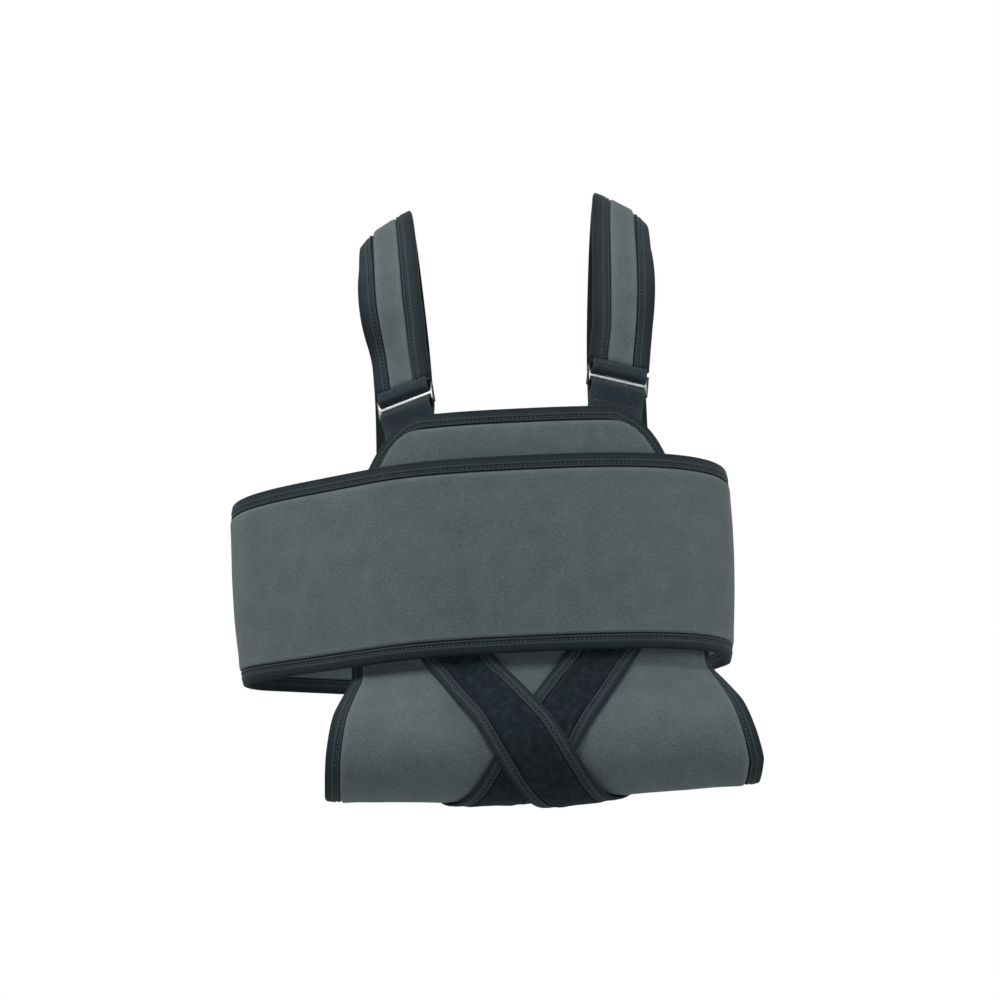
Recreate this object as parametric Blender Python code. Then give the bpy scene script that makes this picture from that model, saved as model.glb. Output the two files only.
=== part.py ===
"""Arm sling: a forearm pouch hung from a padded shoulder harness, held by a wide body belt.

The origin is on the wearer's spine line at the middle of the belt's height. The wearer
faces -Y, +X is the right-hand side seen from the front, and +Z is up. Sizes are in metres.
"""
import math

import bmesh
import bpy
import numpy as np
from mathutils import Vector

# The body inside the belt: a chest, a flat back, and one upper arm beside them
CHEST_CENTRE_X = 0.007
CHEST_HALF_WIDTH = 0.155
CHEST_HALF_DEPTH = 0.125
CHEST_SQUARENESS = 2.7
BACK_DEPTH = 0.122
BACK_FLAT_HALF = 0.060
BACK_ROUNDING = 0.084
ARM_CENTRE_X = -0.180
ARM_RADIUS = 0.042
BODY_TAPER = math.radians(2.1)
CHEST_LEAN = math.radians(10)
CHEST_LEAN_FROM = 0.060

# Cloth, tape and the gaps between layers
FOAM = 0.005
TAPE = 0.0008
TAPE_WIDTH = 0.011
SQUEEZE_START = 0.0020
SQUEEZE_RUN = 0.004
GAP = 0.0003
TAPE_GAP = 0.0005
LAYER_GAP = 0.0005
BELT_GAP = 0.0012
WEBBING = 0.0012
HOOK = 0.0015

# Belt
BELT_HEIGHT = 0.150
FLAP_HALF = 0.058
FLAP_RISE_FLAT = 0.012
FLAP_RISE_RUN = 0.090
PATCH_WIDTH = 0.090
PATCH_HEIGHT = 0.110

# Pouch
POUCH_GAP = 0.0015
POUCH_SEAM_GAP = 0.0015
POUCH_TUCK = 0.095
POUCH_DROP = 0.010
POUCH_EASE = 0.010
POUCH_BOTTOM = -0.184
POUCH_RADIUS = 0.034
POUCH_SET_BACK = 0.030
POUCH_TOP_LEFT = 0.148
POUCH_TOP_RIGHT = 0.170
POUCH_LOW_LEFT = 0.156
POUCH_LOW_RIGHT = 0.175
POUCH_BOW_LEFT = 0.012
POUCH_BOW_RIGHT = 0.026
POUCH_END_RISE = 0.006
POUCH_END_PULL = 0.003
POUCH_WIDEN_LEFT = math.radians(75)
POUCH_WIDEN_RIGHT = math.radians(35)
POUCH_FLARE = 0.85

# Upper part of the pouch's back panel, which shows above the belt
CHEST_TOP = 0.116
CHEST_WIDTH_AT_BELT = 0.131
CHEST_WIDTH_AT_TOP = 0.107
CHEST_CORNER = 0.030
CHEST_CORNER_SAG = 0.002

# Crossed pile straps on the front of the pouch
CROSS_WIDTH = 0.050
CROSS_THICKNESS = 0.0032
CROSS_TAPE_WIDTH = 0.0095
CROSS_ANGLE = math.radians(34.5)
CROSS_X = 0.004
CROSS_DOWN = 0.076
CROSS_TUCK = 0.035
CROSS_END = 0.152
CROSS_LIFT_FLAT = 0.040
CROSS_LIFT_RUN = 0.042

# Shoulder straps
STRAP_WIDTH = 0.050
STRAP_THICKNESS = 0.006
STRAP_TAPE_WIDTH = 0.0135
BUCKLE_X = 0.083
BUCKLE_Z = 0.1365
STRAP_SPLAY = math.radians(11)
SHOULDER_TILT = 0.004
COLLAR_POINT = (0.0930, -0.066, 0.220)
RIDGE_POINT = (0.0950, -0.038, 0.266)
SHOULDER_POINT = (0.0970, 0.004, 0.304)
BLADE_POINT = (0.0950, 0.062, 0.271)
MIDBACK_POINT = (0.0910, 0.108, 0.186)
COLLAR_LEAN = math.radians(15)
RIDGE_LEAN = math.radians(24)
SHOULDER_LEAN = math.radians(30)
BLADE_LEAN = math.radians(22)
MIDBACK_LEAN = math.radians(7)
REAR_X = 0.088
REAR_RISE = 0.010
REAR_GAP = 0.0015

# Buckles, webbing loops and hook tabs
BUCKLE_BAR = 0.0024
BUCKLE_THICKNESS = 0.0020
BUCKLE_PITCH = 0.0075
BUCKLE_SIDE = 0.0025
LOOP_WIDTH = 0.045
LOOP_SIDE_GAP = 0.0005
LOOP_FRONT = 0.020
PAD_START = 0.0128
TAB_EYE = 0.0036
TAB_STEM = 0.0026
TAB_LENGTH = 0.048
TAB_CLEARANCE = 0.0050
TAIL_LENGTH = 0.060
TAIL_GAP = 0.0015
TAIL_WIDTH = 0.040
REAR_TAB_LENGTH = 0.085
REAR_TAB = 0.0020
HOOK_MARGIN = 0.003

# Facets along the long pieces
BELT_STATIONS = 46
STRAP_STATIONS = 34
CROSS_STATIONS = 30
CURVE_STEPS = 24
POUCH_STATIONS = 17
SLOPE_STEPS = 3
ROUND_STEPS = 10
CHEST_STEPS = 10
CORNER_SHARES = (0.117, 0.70)
BEHIND_BELT_STEPS = 8
BEHIND_ARM_STEPS = 5
LOOP_STEPS = 8
EYE_STEPS = 13
HOOK_STEPS = 6
TAB_STEPS = 4
OUTLINE_STEPS = 180
SURFACE_STEP = 0.0015
LAYER_SEARCH = 0.040
OUTLINE_SEARCH = 0.00003

UP = Vector((0.0, 0.0, 1.0))


def clear_scene():
    for item in list(bpy.data.objects):
        bpy.data.objects.remove(item, do_unlink=True)


def finish(name, colour, roughness, metallic=0.0):
    """A plain material of one colour."""
    material = bpy.data.materials.new(name)
    material.use_nodes = True
    shader = material.node_tree.nodes["Principled BSDF"]
    shader.inputs["Base Color"].default_value = (*colour, 1.0)
    shader.inputs["Roughness"].default_value = roughness
    shader.inputs["Metallic"].default_value = metallic
    return material


def smooth(share):
    share = min(max(share, 0.0), 1.0)
    return share * share * (3.0 - 2.0 * share)


def add_object(name, shape, material, pivot):
    """Turn a bmesh into an object whose origin is the pivot."""
    bmesh.ops.recalc_face_normals(shape, faces=shape.faces)
    if shape.calc_volume(signed=True) < 0.0:
        bmesh.ops.reverse_faces(shape, faces=shape.faces)
    bmesh.ops.translate(shape, verts=shape.verts, vec=-pivot)
    mesh = bpy.data.meshes.new(name)
    shape.to_mesh(mesh)
    shape.free()
    mesh.materials.append(material)
    item = bpy.data.objects.new(name, mesh)
    item.location = pivot
    bpy.context.collection.objects.link(item)
    return item


def split_outward(shape, a, b, c, d):
    """Two triangles for a bent four-sided facet, split where it stands furthest from the origin."""
    if (a.co + c.co).length_squared > (b.co + d.co).length_squared:
        a, b, c, d = b, c, d, a
    shape.faces.new((a, b, d))
    shape.faces.new((b, c, d))


def slab(name, outer, inner, material, pivot=Vector()):
    """Closed solid between two grids of points, row by row."""
    shape = bmesh.new()
    faces = [[[shape.verts.new(p) for p in row] for row in grid] for grid in (outer, inner)]
    rows = len(outer)
    columns = len(outer[0])
    for grid in faces:
        for r in range(rows - 1):
            for c in range(columns - 1):
                split_outward(shape, grid[r][c], grid[r][c + 1], grid[r + 1][c + 1], grid[r + 1][c])
    border = [(0, c) for c in range(columns - 1)]
    border += [(r, columns - 1) for r in range(rows - 1)]
    border += [(rows - 1, c) for c in range(columns - 1, 0, -1)]
    border += [(r, 0) for r in range(rows - 1, 0, -1)]
    for (r0, c0), (r1, c1) in zip(border, border[1:] + border[:1]):
        shape.faces.new((faces[0][r0][c0], faces[0][r1][c1], faces[1][r1][c1], faces[1][r0][c0]))
    return add_object(name, shape, material, pivot)


def prism(name, polygons, place, depth, material, pivot=Vector()):
    """Flat polygons that share edges, thickened by depth and placed by a function."""
    shape = bmesh.new()
    corners = {}

    def corner(point, level):
        key = (round(point[0], 7), round(point[1], 7), level)
        if key not in corners:
            corners[key] = shape.verts.new(place(point[0], point[1], level * depth / 2))
        return corners[key]

    uses = {}
    for polygon in polygons:
        for level in (-1, 1):
            shape.faces.new([corner(point, level) for point in polygon])
        for a, b in zip(polygon, polygon[1:] + polygon[:1]):
            ends = frozenset((corner(a, 1), corner(b, 1)))
            uses.setdefault(ends, []).append((a, b))
    for edges in uses.values():
        if len(edges) == 1:
            a, b = edges[0]
            shape.faces.new((corner(a, -1), corner(b, -1), corner(b, 1), corner(a, 1)))
    return add_object(name, shape, material, pivot)


def tape_lip(width):
    """How far an edge tape reaches in from the edge that it covers."""
    return width - TAPE_GAP - TAPE


def squeezed_half(from_edge, thickness, width=TAPE_WIDTH):
    """Half thickness of a padded piece, pressed thin under its edge tape."""
    thin = thickness / 2 - TAPE_GAP - TAPE
    start = tape_lip(width) + SQUEEZE_START
    share = min(max((from_edge - start) / SQUEEZE_RUN, 0.0), 1.0)
    return thin + (thickness / 2 - thin) * share


def edge_offsets(width=TAPE_WIDTH):
    """Distances from a taped edge where the thickness changes."""
    start = tape_lip(width) + SQUEEZE_START
    return [0.0, start, start + SQUEEZE_RUN]


def edge_tape(name, stations, thickness, material, width=TAPE_WIDTH, pivot=Vector()):
    """Binding tape folded over an edge; a station is (edge point, inward, normal)."""
    high = thickness / 2
    low = high - TAPE
    lip = tape_lip(width)
    outer = []
    inner = []
    for point, inward, normal in stations:
        fold = -TAPE_GAP - TAPE
        outer.append([point + inward * a + normal * h for a, h in
                      ((lip, high), (fold, high), (fold, -high), (lip, -high))])
        inner.append([point + inward * a + normal * h for a, h in
                      ((lip, low), (-TAPE_GAP, low), (-TAPE_GAP, -low), (lip, -low))])
    return slab(name, outer, inner, material, pivot)


def convex_hull(points):
    """Corners of the outline that a taut band takes, counter-clockwise."""
    def chain(run):
        hull = []
        for p in run:
            while len(hull) > 1:
                (ax, ay), (bx, by) = hull[-2], hull[-1]
                if (bx - ax) * (p[1] - ay) - (by - ay) * (p[0] - ax) > 0:
                    break
                hull.pop()
            hull.append(p)
        return hull[:-1]

    ordered = sorted(points)
    return chain(ordered) + chain(ordered[::-1])


class Outline:
    """Plan of the body at belt height, by distance from the middle of its front."""

    def __init__(self, corners):
        closed = np.array(corners + corners[:1])
        along = np.concatenate([[0.0], np.cumsum(np.hypot(*np.diff(closed, axis=0).T))])
        self.length = along[-1]
        laps = range(-2, 4)
        self.along = np.concatenate([along[:-1] + lap * self.length for lap in laps])
        self.x = np.tile(closed[:-1, 0], len(laps))
        self.y = np.tile(closed[:-1, 1], len(laps))
        self.start = 0.0
        self.start = self.find(0.0, front=True)

    def at(self, s):
        s = s + self.start
        return Vector((np.interp(s, self.along, self.x), np.interp(s, self.along, self.y), 0.0))

    def normal(self, s):
        run = self.at(s + SURFACE_STEP) - self.at(s - SURFACE_STEP)
        return Vector((run.y, -run.x, 0.0)).normalized()

    def point(self, s, out, z):
        """A point at a distance outward from the body, which narrows downwards."""
        place = self.at(s) + self.normal(s) * (out + z * math.tan(BODY_TAPER))
        return Vector((place.x, place.y, z))

    def find(self, x, front):
        """Distance along the outline to a given x on the front or the back."""
        fine = np.arange(0.0, self.length, OUTLINE_SEARCH)
        places = fine + self.start
        xs = np.interp(places, self.along, self.x)
        ys = np.interp(places, self.along, self.y)
        side = ys < 0.0 if front else ys > 0.0
        return float(fine[side][np.argmin(np.abs(xs[side] - x))])

    def find_layer(self, x, out, z):
        """Distance along the front to a given x on a layer inside the body's outline."""
        near = self.find(x, front=True)
        lap = round(near / self.length) * self.length
        tries = np.arange(near - lap - LAYER_SEARCH, near - lap + LAYER_SEARCH, GAP)
        return float(min(tries, key=lambda s: abs(self.point(s, out, z).x - x)))


def body_outline():
    """A band drawn taut round the chest, the back and the upper arm."""
    corners = []
    power = 2.0 / CHEST_SQUARENESS
    for angle in np.linspace(math.pi, 2 * math.pi, OUTLINE_STEPS + 1):
        c = math.cos(angle)
        s = abs(math.sin(angle))
        x = CHEST_CENTRE_X + CHEST_HALF_WIDTH * math.copysign(abs(c) ** power, c)
        corners.append((x, -CHEST_HALF_DEPTH * s ** power))
    rounds = [(side * BACK_FLAT_HALF, BACK_DEPTH - BACK_ROUNDING, BACK_ROUNDING) for side in (-1, 1)]
    rounds.append((ARM_CENTRE_X, 0.0, ARM_RADIUS))
    for x, y, radius in rounds:
        for angle in np.linspace(0.0, 2 * math.pi, OUTLINE_STEPS, endpoint=False):
            corners.append((x + radius * math.cos(angle), y + radius * math.sin(angle)))
    return Outline(convex_hull(corners))


BODY = body_outline()

# Belt lap: the end that comes round the left lies over the end that comes round the right
BACK_MIDDLE = BODY.find(0.0, front=False)
INNER_END = BACK_MIDDLE + FLAP_HALF
HINGE_AT = INNER_END - BODY.length
FLAP_END = BACK_MIDDLE - FLAP_HALF - BODY.length
FLAP_LIFT = FOAM + 2 * HOOK + 3 * LAYER_GAP
BELT_EDGE = BELT_HEIGHT / 2 - TAPE_GAP - TAPE

# Layers inside the belt, as distances outward from its inner face
FRONT_LAYER = -(BELT_GAP + CROSS_THICKNESS + LAYER_GAP + FOAM / 2)
BACK_LAYER = FRONT_LAYER - FOAM - POUCH_GAP
POUCH_START = -BELT_HEIGHT / 2 - POUCH_DROP
POUCH_CENTRE_Y = BODY.point(0.0, BACK_LAYER, POUCH_START).y - POUCH_RADIUS + POUCH_SET_BACK
POUCH_CENTRE_Z = POUCH_BOTTOM + FOAM / 2 + POUCH_RADIUS


def belt_lift(s):
    """How far the outer lap of the belt stands off the body."""
    return FLAP_LIFT * (1.0 - smooth((s - HINGE_AT - FLAP_RISE_FLAT) / FLAP_RISE_RUN))


def belt_point(s, out, z):
    return BODY.point(s, belt_lift(s) + out, z)


def belt_rows():
    """Heights across the belt where its thickness changes."""
    offsets = edge_offsets()
    return [-BELT_EDGE + e for e in offsets] + [BELT_EDGE - e for e in reversed(offsets)]


def belt_length_of_foam(name, stations, end, material, pivot=Vector()):
    """Foam of the belt between two places, pressed thin at its edges and at one end."""
    outer = []
    inner = []
    for s in stations:
        rows = [(z, min(BELT_EDGE - abs(z), abs(s - end))) for z in belt_rows()]
        halves = [(z, squeezed_half(e, FOAM)) for z, e in rows]
        outer.append([belt_point(s, FOAM / 2 + h, z) for z, h in halves])
        inner.append([belt_point(s, FOAM / 2 - h, z) for z, h in halves])
    return slab(name, outer, inner, material, pivot)


def belt_long_tape(name, stations, top, material, pivot=Vector()):
    edge = BELT_EDGE if top else -BELT_EDGE
    inside = edge - math.copysign(TAPE_WIDTH, edge)
    places = []
    for s in stations:
        rim = belt_point(s, FOAM / 2, edge)
        inward = belt_point(s, FOAM / 2, inside) - rim
        places.append((rim, inward.normalized(), BODY.normal(s)))
    return edge_tape(name, places, FOAM, material, pivot=pivot)


def belt_end_tape(name, end, inward_sign, material, pivot=Vector()):
    normal = BODY.normal(end)
    inward = normal.cross(UP) * -inward_sign
    reach = BELT_HEIGHT / 2 - TAPE_WIDTH - GAP
    places = [(belt_point(end, FOAM / 2, z), inward, normal) for z in (-reach, reach)]
    return edge_tape(name, places, FOAM, material, pivot=pivot)


def belt_patch(name, low_out, s_middle, material, pivot=Vector()):
    """Flat rectangle of fastening tape on the belt."""
    across = [s_middle - PATCH_WIDTH / 2, s_middle + PATCH_WIDTH / 2]
    heights = [-PATCH_HEIGHT / 2, PATCH_HEIGHT / 2]
    outer = [[belt_point(s, low_out + HOOK, z) for z in heights] for s in across]
    inner = [[belt_point(s, low_out, z) for z in heights] for s in across]
    return slab(name, outer, inner, material, pivot)


def build_belt(grey, tape, hook):
    end_offsets = edge_offsets()
    run = np.linspace(HINGE_AT + GAP, INNER_END - 2 * end_offsets[-1], BELT_STATIONS)
    stations = list(run) + [INNER_END - e for e in reversed(end_offsets)]
    belt_length_of_foam("belt_panel", stations, INNER_END, grey)
    belt_long_tape("belt_top_binding", stations, True, tape)
    belt_long_tape("belt_bottom_binding", stations, False, tape)
    belt_end_tape("belt_inner_end_binding", INNER_END, -1, tape)
    loop_at = BACK_MIDDLE
    belt_patch("belt_loop_patch", FOAM + LAYER_GAP, loop_at, hook)

    pivot = belt_point(HINGE_AT, FOAM + GAP, 0.0)
    flap = [FLAP_END + e for e in end_offsets] + [HINGE_AT]
    belt_length_of_foam("belt_flap", flap, FLAP_END, grey, pivot)
    belt_long_tape("belt_flap_top_binding", flap, True, tape, pivot)
    belt_long_tape("belt_flap_bottom_binding", flap, False, tape, pivot)
    belt_end_tape("belt_flap_end_binding", FLAP_END, 1, tape, pivot)
    belt_patch("belt_hook_patch", -LAYER_GAP - HOOK, loop_at - BODY.length, hook, pivot)


def pouch_side(p, left, right):
    return right if p > 0 else left


def pouch_profile(p):
    """The front panel's section at a share p of the pouch's length, from -1 to 1."""
    top = BODY.point(p * pouch_side(p, POUCH_TOP_LEFT, POUCH_TOP_RIGHT), FRONT_LAYER, POUCH_START)
    low_x = p * pouch_side(p, POUCH_LOW_LEFT, POUCH_LOW_RIGHT)
    bow = p * p * pouch_side(p, POUCH_BOW_LEFT, POUCH_BOW_RIGHT)
    centre = Vector((low_x, POUCH_CENTRE_Y + bow, POUCH_CENTRE_Z + p * p * POUCH_END_RISE))
    back = top.y - centre.y
    rise = top.z - centre.z
    reach = math.hypot(back, rise)
    slope = math.atan2(back, rise) + math.asin(POUCH_RADIUS / reach)
    run = math.sqrt(reach * reach - POUCH_RADIUS ** 2)
    return top, centre, slope, run


def front_middle(p, down):
    """Middle of the front panel, down from the belt, round the forearm and up behind it."""
    if abs(down) < POUCH_EASE:
        share = (down + POUCH_EASE) / (2 * POUCH_EASE)
        bend, above, below = (front_line(p, d) for d in (0.0, -POUCH_EASE, POUCH_EASE))
        return above.lerp(bend, share).lerp(bend.lerp(below, share), share)
    return front_line(p, down)


def front_line(p, down):
    """The same line before the bend below the belt is eased."""
    top, centre, slope, run = pouch_profile(p)
    if down <= 0.0:
        around = p * pouch_side(p, POUCH_TOP_LEFT, POUCH_TOP_RIGHT)
        return BODY.point(around, FRONT_LAYER, POUCH_START - down)
    widest = run + POUCH_RADIUS * (slope + pouch_side(p, POUCH_WIDEN_LEFT, POUCH_WIDEN_RIGHT))
    x = top.x + (centre.x - top.x) * min(down / widest, 1.0) ** POUCH_FLARE
    if down <= run:
        return Vector((x, top.y - down * math.sin(slope), top.z - down * math.cos(slope)))
    angle = slope - (down - run) / POUCH_RADIUS
    x -= p * POUCH_END_PULL * smooth(-angle / (math.pi / 2))
    return Vector((x, centre.y - POUCH_RADIUS * math.cos(angle), centre.z + POUCH_RADIUS * math.sin(angle)))


def front_normal(p, down):
    """Unit vector square out of the pouch's front panel."""
    step = SURFACE_STEP / POUCH_LOW_RIGHT
    along = front_middle(p + step, down) - front_middle(p - step, down)
    below = front_middle(p, down + SURFACE_STEP) - front_middle(p, down - SURFACE_STEP)
    return below.cross(along).normalized()


def front_point(p, down, out):
    return front_middle(p, down) + front_normal(p, down) * out


def pouch_columns():
    """Shares of the pouch's length, with lines where the taped ends are pressed thin."""
    ends = edge_offsets()
    left = [-1.0 + e / POUCH_LOW_LEFT for e in ends]
    right = [1.0 - e / POUCH_LOW_RIGHT for e in reversed(ends)]
    inside = list(np.linspace(left[-1], right[0], POUCH_STATIONS))[1:-1]
    return left + inside + right


def pouch_downs(p):
    """Distances down the front panel: tucked under the belt, sloping, then round the forearm."""
    slope, run = pouch_profile(p)[2:]
    arc = POUCH_RADIUS * (slope + math.pi) - GAP
    tucked = [-POUCH_TUCK, -POUCH_TUCK / 2]
    eased = [POUCH_EASE * k / 2 for k in range(-2, 3)]
    sloping = list(np.linspace(POUCH_EASE, run, SLOPE_STEPS + 1))[1:-1]
    return tucked + eased + sloping + list(run + np.linspace(0.0, arc, ROUND_STEPS + 1))


def build_pouch_front(grey, tape):
    outer = []
    inner = []
    for p in pouch_columns():
        end = (1.0 - abs(p)) * pouch_side(p, POUCH_LOW_LEFT, POUCH_LOW_RIGHT)
        half = squeezed_half(end, FOAM)
        outer.append([front_point(p, down, half) for down in pouch_downs(p)])
        inner.append([front_point(p, down, -half) for down in pouch_downs(p)])
    slab("pouch_front_panel", outer, inner, grey)
    for name, p in (("pouch_left_binding", -1.0), ("pouch_right_binding", 1.0)):
        inside = p - p * TAPE_WIDTH / pouch_side(p, POUCH_LOW_LEFT, POUCH_LOW_RIGHT)
        places = []
        for down, inside_down in zip(pouch_downs(p), pouch_downs(inside)):
            edge = front_middle(p, down)
            inward = front_middle(inside, inside_down) - edge
            places.append((edge, inward.normalized(), front_normal(p, down)))
        edge_tape(name, places, FOAM, tape)


def back_width(z, right):
    """Half width of the back panel at a height, measured round the body."""
    wide = POUCH_TOP_RIGHT if right else POUCH_TOP_LEFT
    heights = (POUCH_START, BELT_HEIGHT / 2, CHEST_TOP)
    return float(np.interp(z, heights, (wide, CHEST_WIDTH_AT_BELT, CHEST_WIDTH_AT_TOP)))


def back_point(s, z, out):
    """A point on or off the back panel, which follows the chest and then backs the forearm."""
    lean = math.tan(CHEST_LEAN) * max(0.0, z - CHEST_LEAN_FROM)
    if z >= POUCH_START:
        return BODY.point(s, BACK_LAYER - lean + out, z)
    p = s / back_width(POUCH_START, s > 0)
    share = smooth((POUCH_START - z) / (POUCH_START - POUCH_CENTRE_Z))
    body = BODY.point(s, BACK_LAYER + out, z)
    centre = pouch_profile(p)[1]
    pouch = Vector((centre.x - p * POUCH_END_PULL, centre.y + POUCH_RADIUS - out, z))
    return body.lerp(pouch, share)


def chest_top(from_side):
    """Height of the chest panel's top edge, rounded at its corners."""
    if from_side >= CHEST_CORNER:
        return CHEST_TOP
    return CHEST_TOP - CHEST_CORNER + math.sqrt(CHEST_CORNER ** 2 - (CHEST_CORNER - from_side) ** 2)


def from_rim(s, z):
    """Distance from a point of the back panel to its taped sides and top."""
    side = back_width(z, s > 0) - abs(s)
    top = CHEST_TOP - z
    if side < CHEST_CORNER and top < CHEST_CORNER:
        round_edge = CHEST_CORNER - CHEST_CORNER_SAG
        return round_edge - math.hypot(CHEST_CORNER - side, CHEST_CORNER - top)
    return min(side, top)


def back_column_place(from_side, right, share, z):
    """Distance round the body of one column of the back panel's grid at a height."""
    left_end = -back_width(z, False)
    right_end = back_width(z, True)
    if share is not None:
        return left_end + CHEST_CORNER + (right_end - left_end - 2 * CHEST_CORNER) * share
    return right_end - from_side if right else left_end + from_side


def back_grid():
    """Columns of (s, z) over the back panel, from left to right and from bottom to top."""
    thin = edge_offsets()
    corner = sorted(thin + [share * CHEST_CORNER for share in CORNER_SHARES] + [CHEST_CORNER])
    columns = [(e, False, None) for e in corner]
    columns += [(CHEST_CORNER, None, k / CHEST_STEPS) for k in range(1, CHEST_STEPS)]
    columns += [(e, True, None) for e in reversed(corner)]
    behind_belt = list(np.linspace(POUCH_START, CHEST_LEAN_FROM, BEHIND_BELT_STEPS + 1))
    grid = []
    for from_side, right, share in columns:
        start = back_column_place(from_side, right, share, POUCH_START)
        p = start / back_width(POUCH_START, start > 0)
        seam = POUCH_CENTRE_Z + p * p * POUCH_END_RISE + POUCH_SEAM_GAP
        backing_arm = list(np.linspace(seam, POUCH_START, BEHIND_ARM_STEPS + 1))[:-1]
        top = chest_top(from_side)
        rows = backing_arm + behind_belt + [top - e for e in reversed(thin)]
        grid.append([(back_column_place(from_side, right, share, z), z) for z in rows])
    return grid


def build_pouch_back(grey, tape):
    grid = back_grid()
    halves = [[(s, z, squeezed_half(from_rim(s, z), FOAM)) for s, z in column] for column in grid]
    outer = [[back_point(s, z, half) for s, z, half in column] for column in halves]
    inner = [[back_point(s, z, -half) for s, z, half in column] for column in halves]
    slab("pouch_back_panel", outer, inner, grey)

    rim = grid[0] + [column[-1] for column in grid[1:]] + grid[-1][-2::-1]
    places = []
    for k, (s, z) in enumerate(rim):
        before = rim[max(k - 1, 0)]
        after = rim[min(k + 1, len(rim) - 1)]
        across = np.array((after[1] - before[1], before[0] - after[0]))
        step = across / np.linalg.norm(across) * TAPE_WIDTH
        edge = back_point(s, z, 0.0)
        inward = back_point(s + step[0], z + step[1], 0.0) - edge
        normal = back_point(s, z, SURFACE_STEP) - edge
        places.append((edge, inward.normalized(), normal.normalized()))
    edge_tape("pouch_back_binding", places, FOAM, tape)


def cross_place(turn, along, across):
    """Where a point of a crossed strap lies on the pouch, as a share and a distance down."""
    x = CROSS_X + turn * along * math.sin(CROSS_ANGLE) + across * math.cos(CROSS_ANGLE)
    down = CROSS_DOWN + along * math.cos(CROSS_ANGLE) - turn * across * math.sin(CROSS_ANGLE)
    return x / pouch_side(x, POUCH_LOW_LEFT, POUCH_LOW_RIGHT), down


def cross_point(turn, along, across, out, over):
    p, down = cross_place(turn, along, across)
    height = FOAM / 2 + LAYER_GAP + CROSS_THICKNESS / 2
    if over:
        lift = 1.0 - smooth((abs(along) - CROSS_LIFT_FLAT) / CROSS_LIFT_RUN)
        height += (CROSS_THICKNESS + LAYER_GAP) * lift
    return front_point(p, down, height + out)


def build_cross_strap(name, turn, over, pile, tape):
    """One strap of the crossed pair; turn is 1 if it runs down to the right."""
    start = -(CROSS_DOWN + CROSS_TUCK) / math.cos(CROSS_ANGLE)
    end = (CROSS_END - CROSS_DOWN) / math.cos(CROSS_ANGLE)
    runs = np.linspace(start, end, CROSS_STATIONS)
    half = CROSS_WIDTH / 2 - TAPE_GAP - TAPE
    offsets = edge_offsets(CROSS_TAPE_WIDTH)
    places = [-half + e for e in offsets] + [0.0] + [half - e for e in reversed(offsets)]
    outer = []
    inner = []
    for along in runs:
        halves = [(a, squeezed_half(half - abs(a), CROSS_THICKNESS, CROSS_TAPE_WIDTH)) for a in places]
        outer.append([cross_point(turn, along, a, h, over) for a, h in halves])
        inner.append([cross_point(turn, along, a, -h, over) for a, h in halves])
    slab(name, outer, inner, pile)
    for side, sign in (("left", -1), ("right", 1)):
        stations = []
        for along in runs:
            edge = cross_point(turn, along, sign * half, 0.0, over)
            inside = cross_point(turn, along, sign * (half - CROSS_TAPE_WIDTH), 0.0, over)
            normal = cross_point(turn, along, sign * half, SURFACE_STEP, over) - edge
            stations.append((edge, (inside - edge).normalized(), normal.normalized()))
        edge_tape(f"{name}_{side}_binding", stations, CROSS_THICKNESS, tape, CROSS_TAPE_WIDTH)


def smooth_curve(knots):
    """Points of a curve through every knot."""
    knots = [np.array(k) for k in knots]
    padded = [2 * knots[0] - knots[1]] + knots + [2 * knots[-1] - knots[-2]]
    curve = []
    for a, b, c, d in zip(padded, padded[1:], padded[2:], padded[3:]):
        for t in np.linspace(0.0, 1.0, CURVE_STEPS, endpoint=False):
            curve.append(0.5 * (2 * b + (c - a) * t + (2 * a - 5 * b + 4 * c - d) * t ** 2
                                + (3 * b - a - 3 * c + d) * t ** 3))
    return np.array(curve + [knots[-1]])


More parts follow.
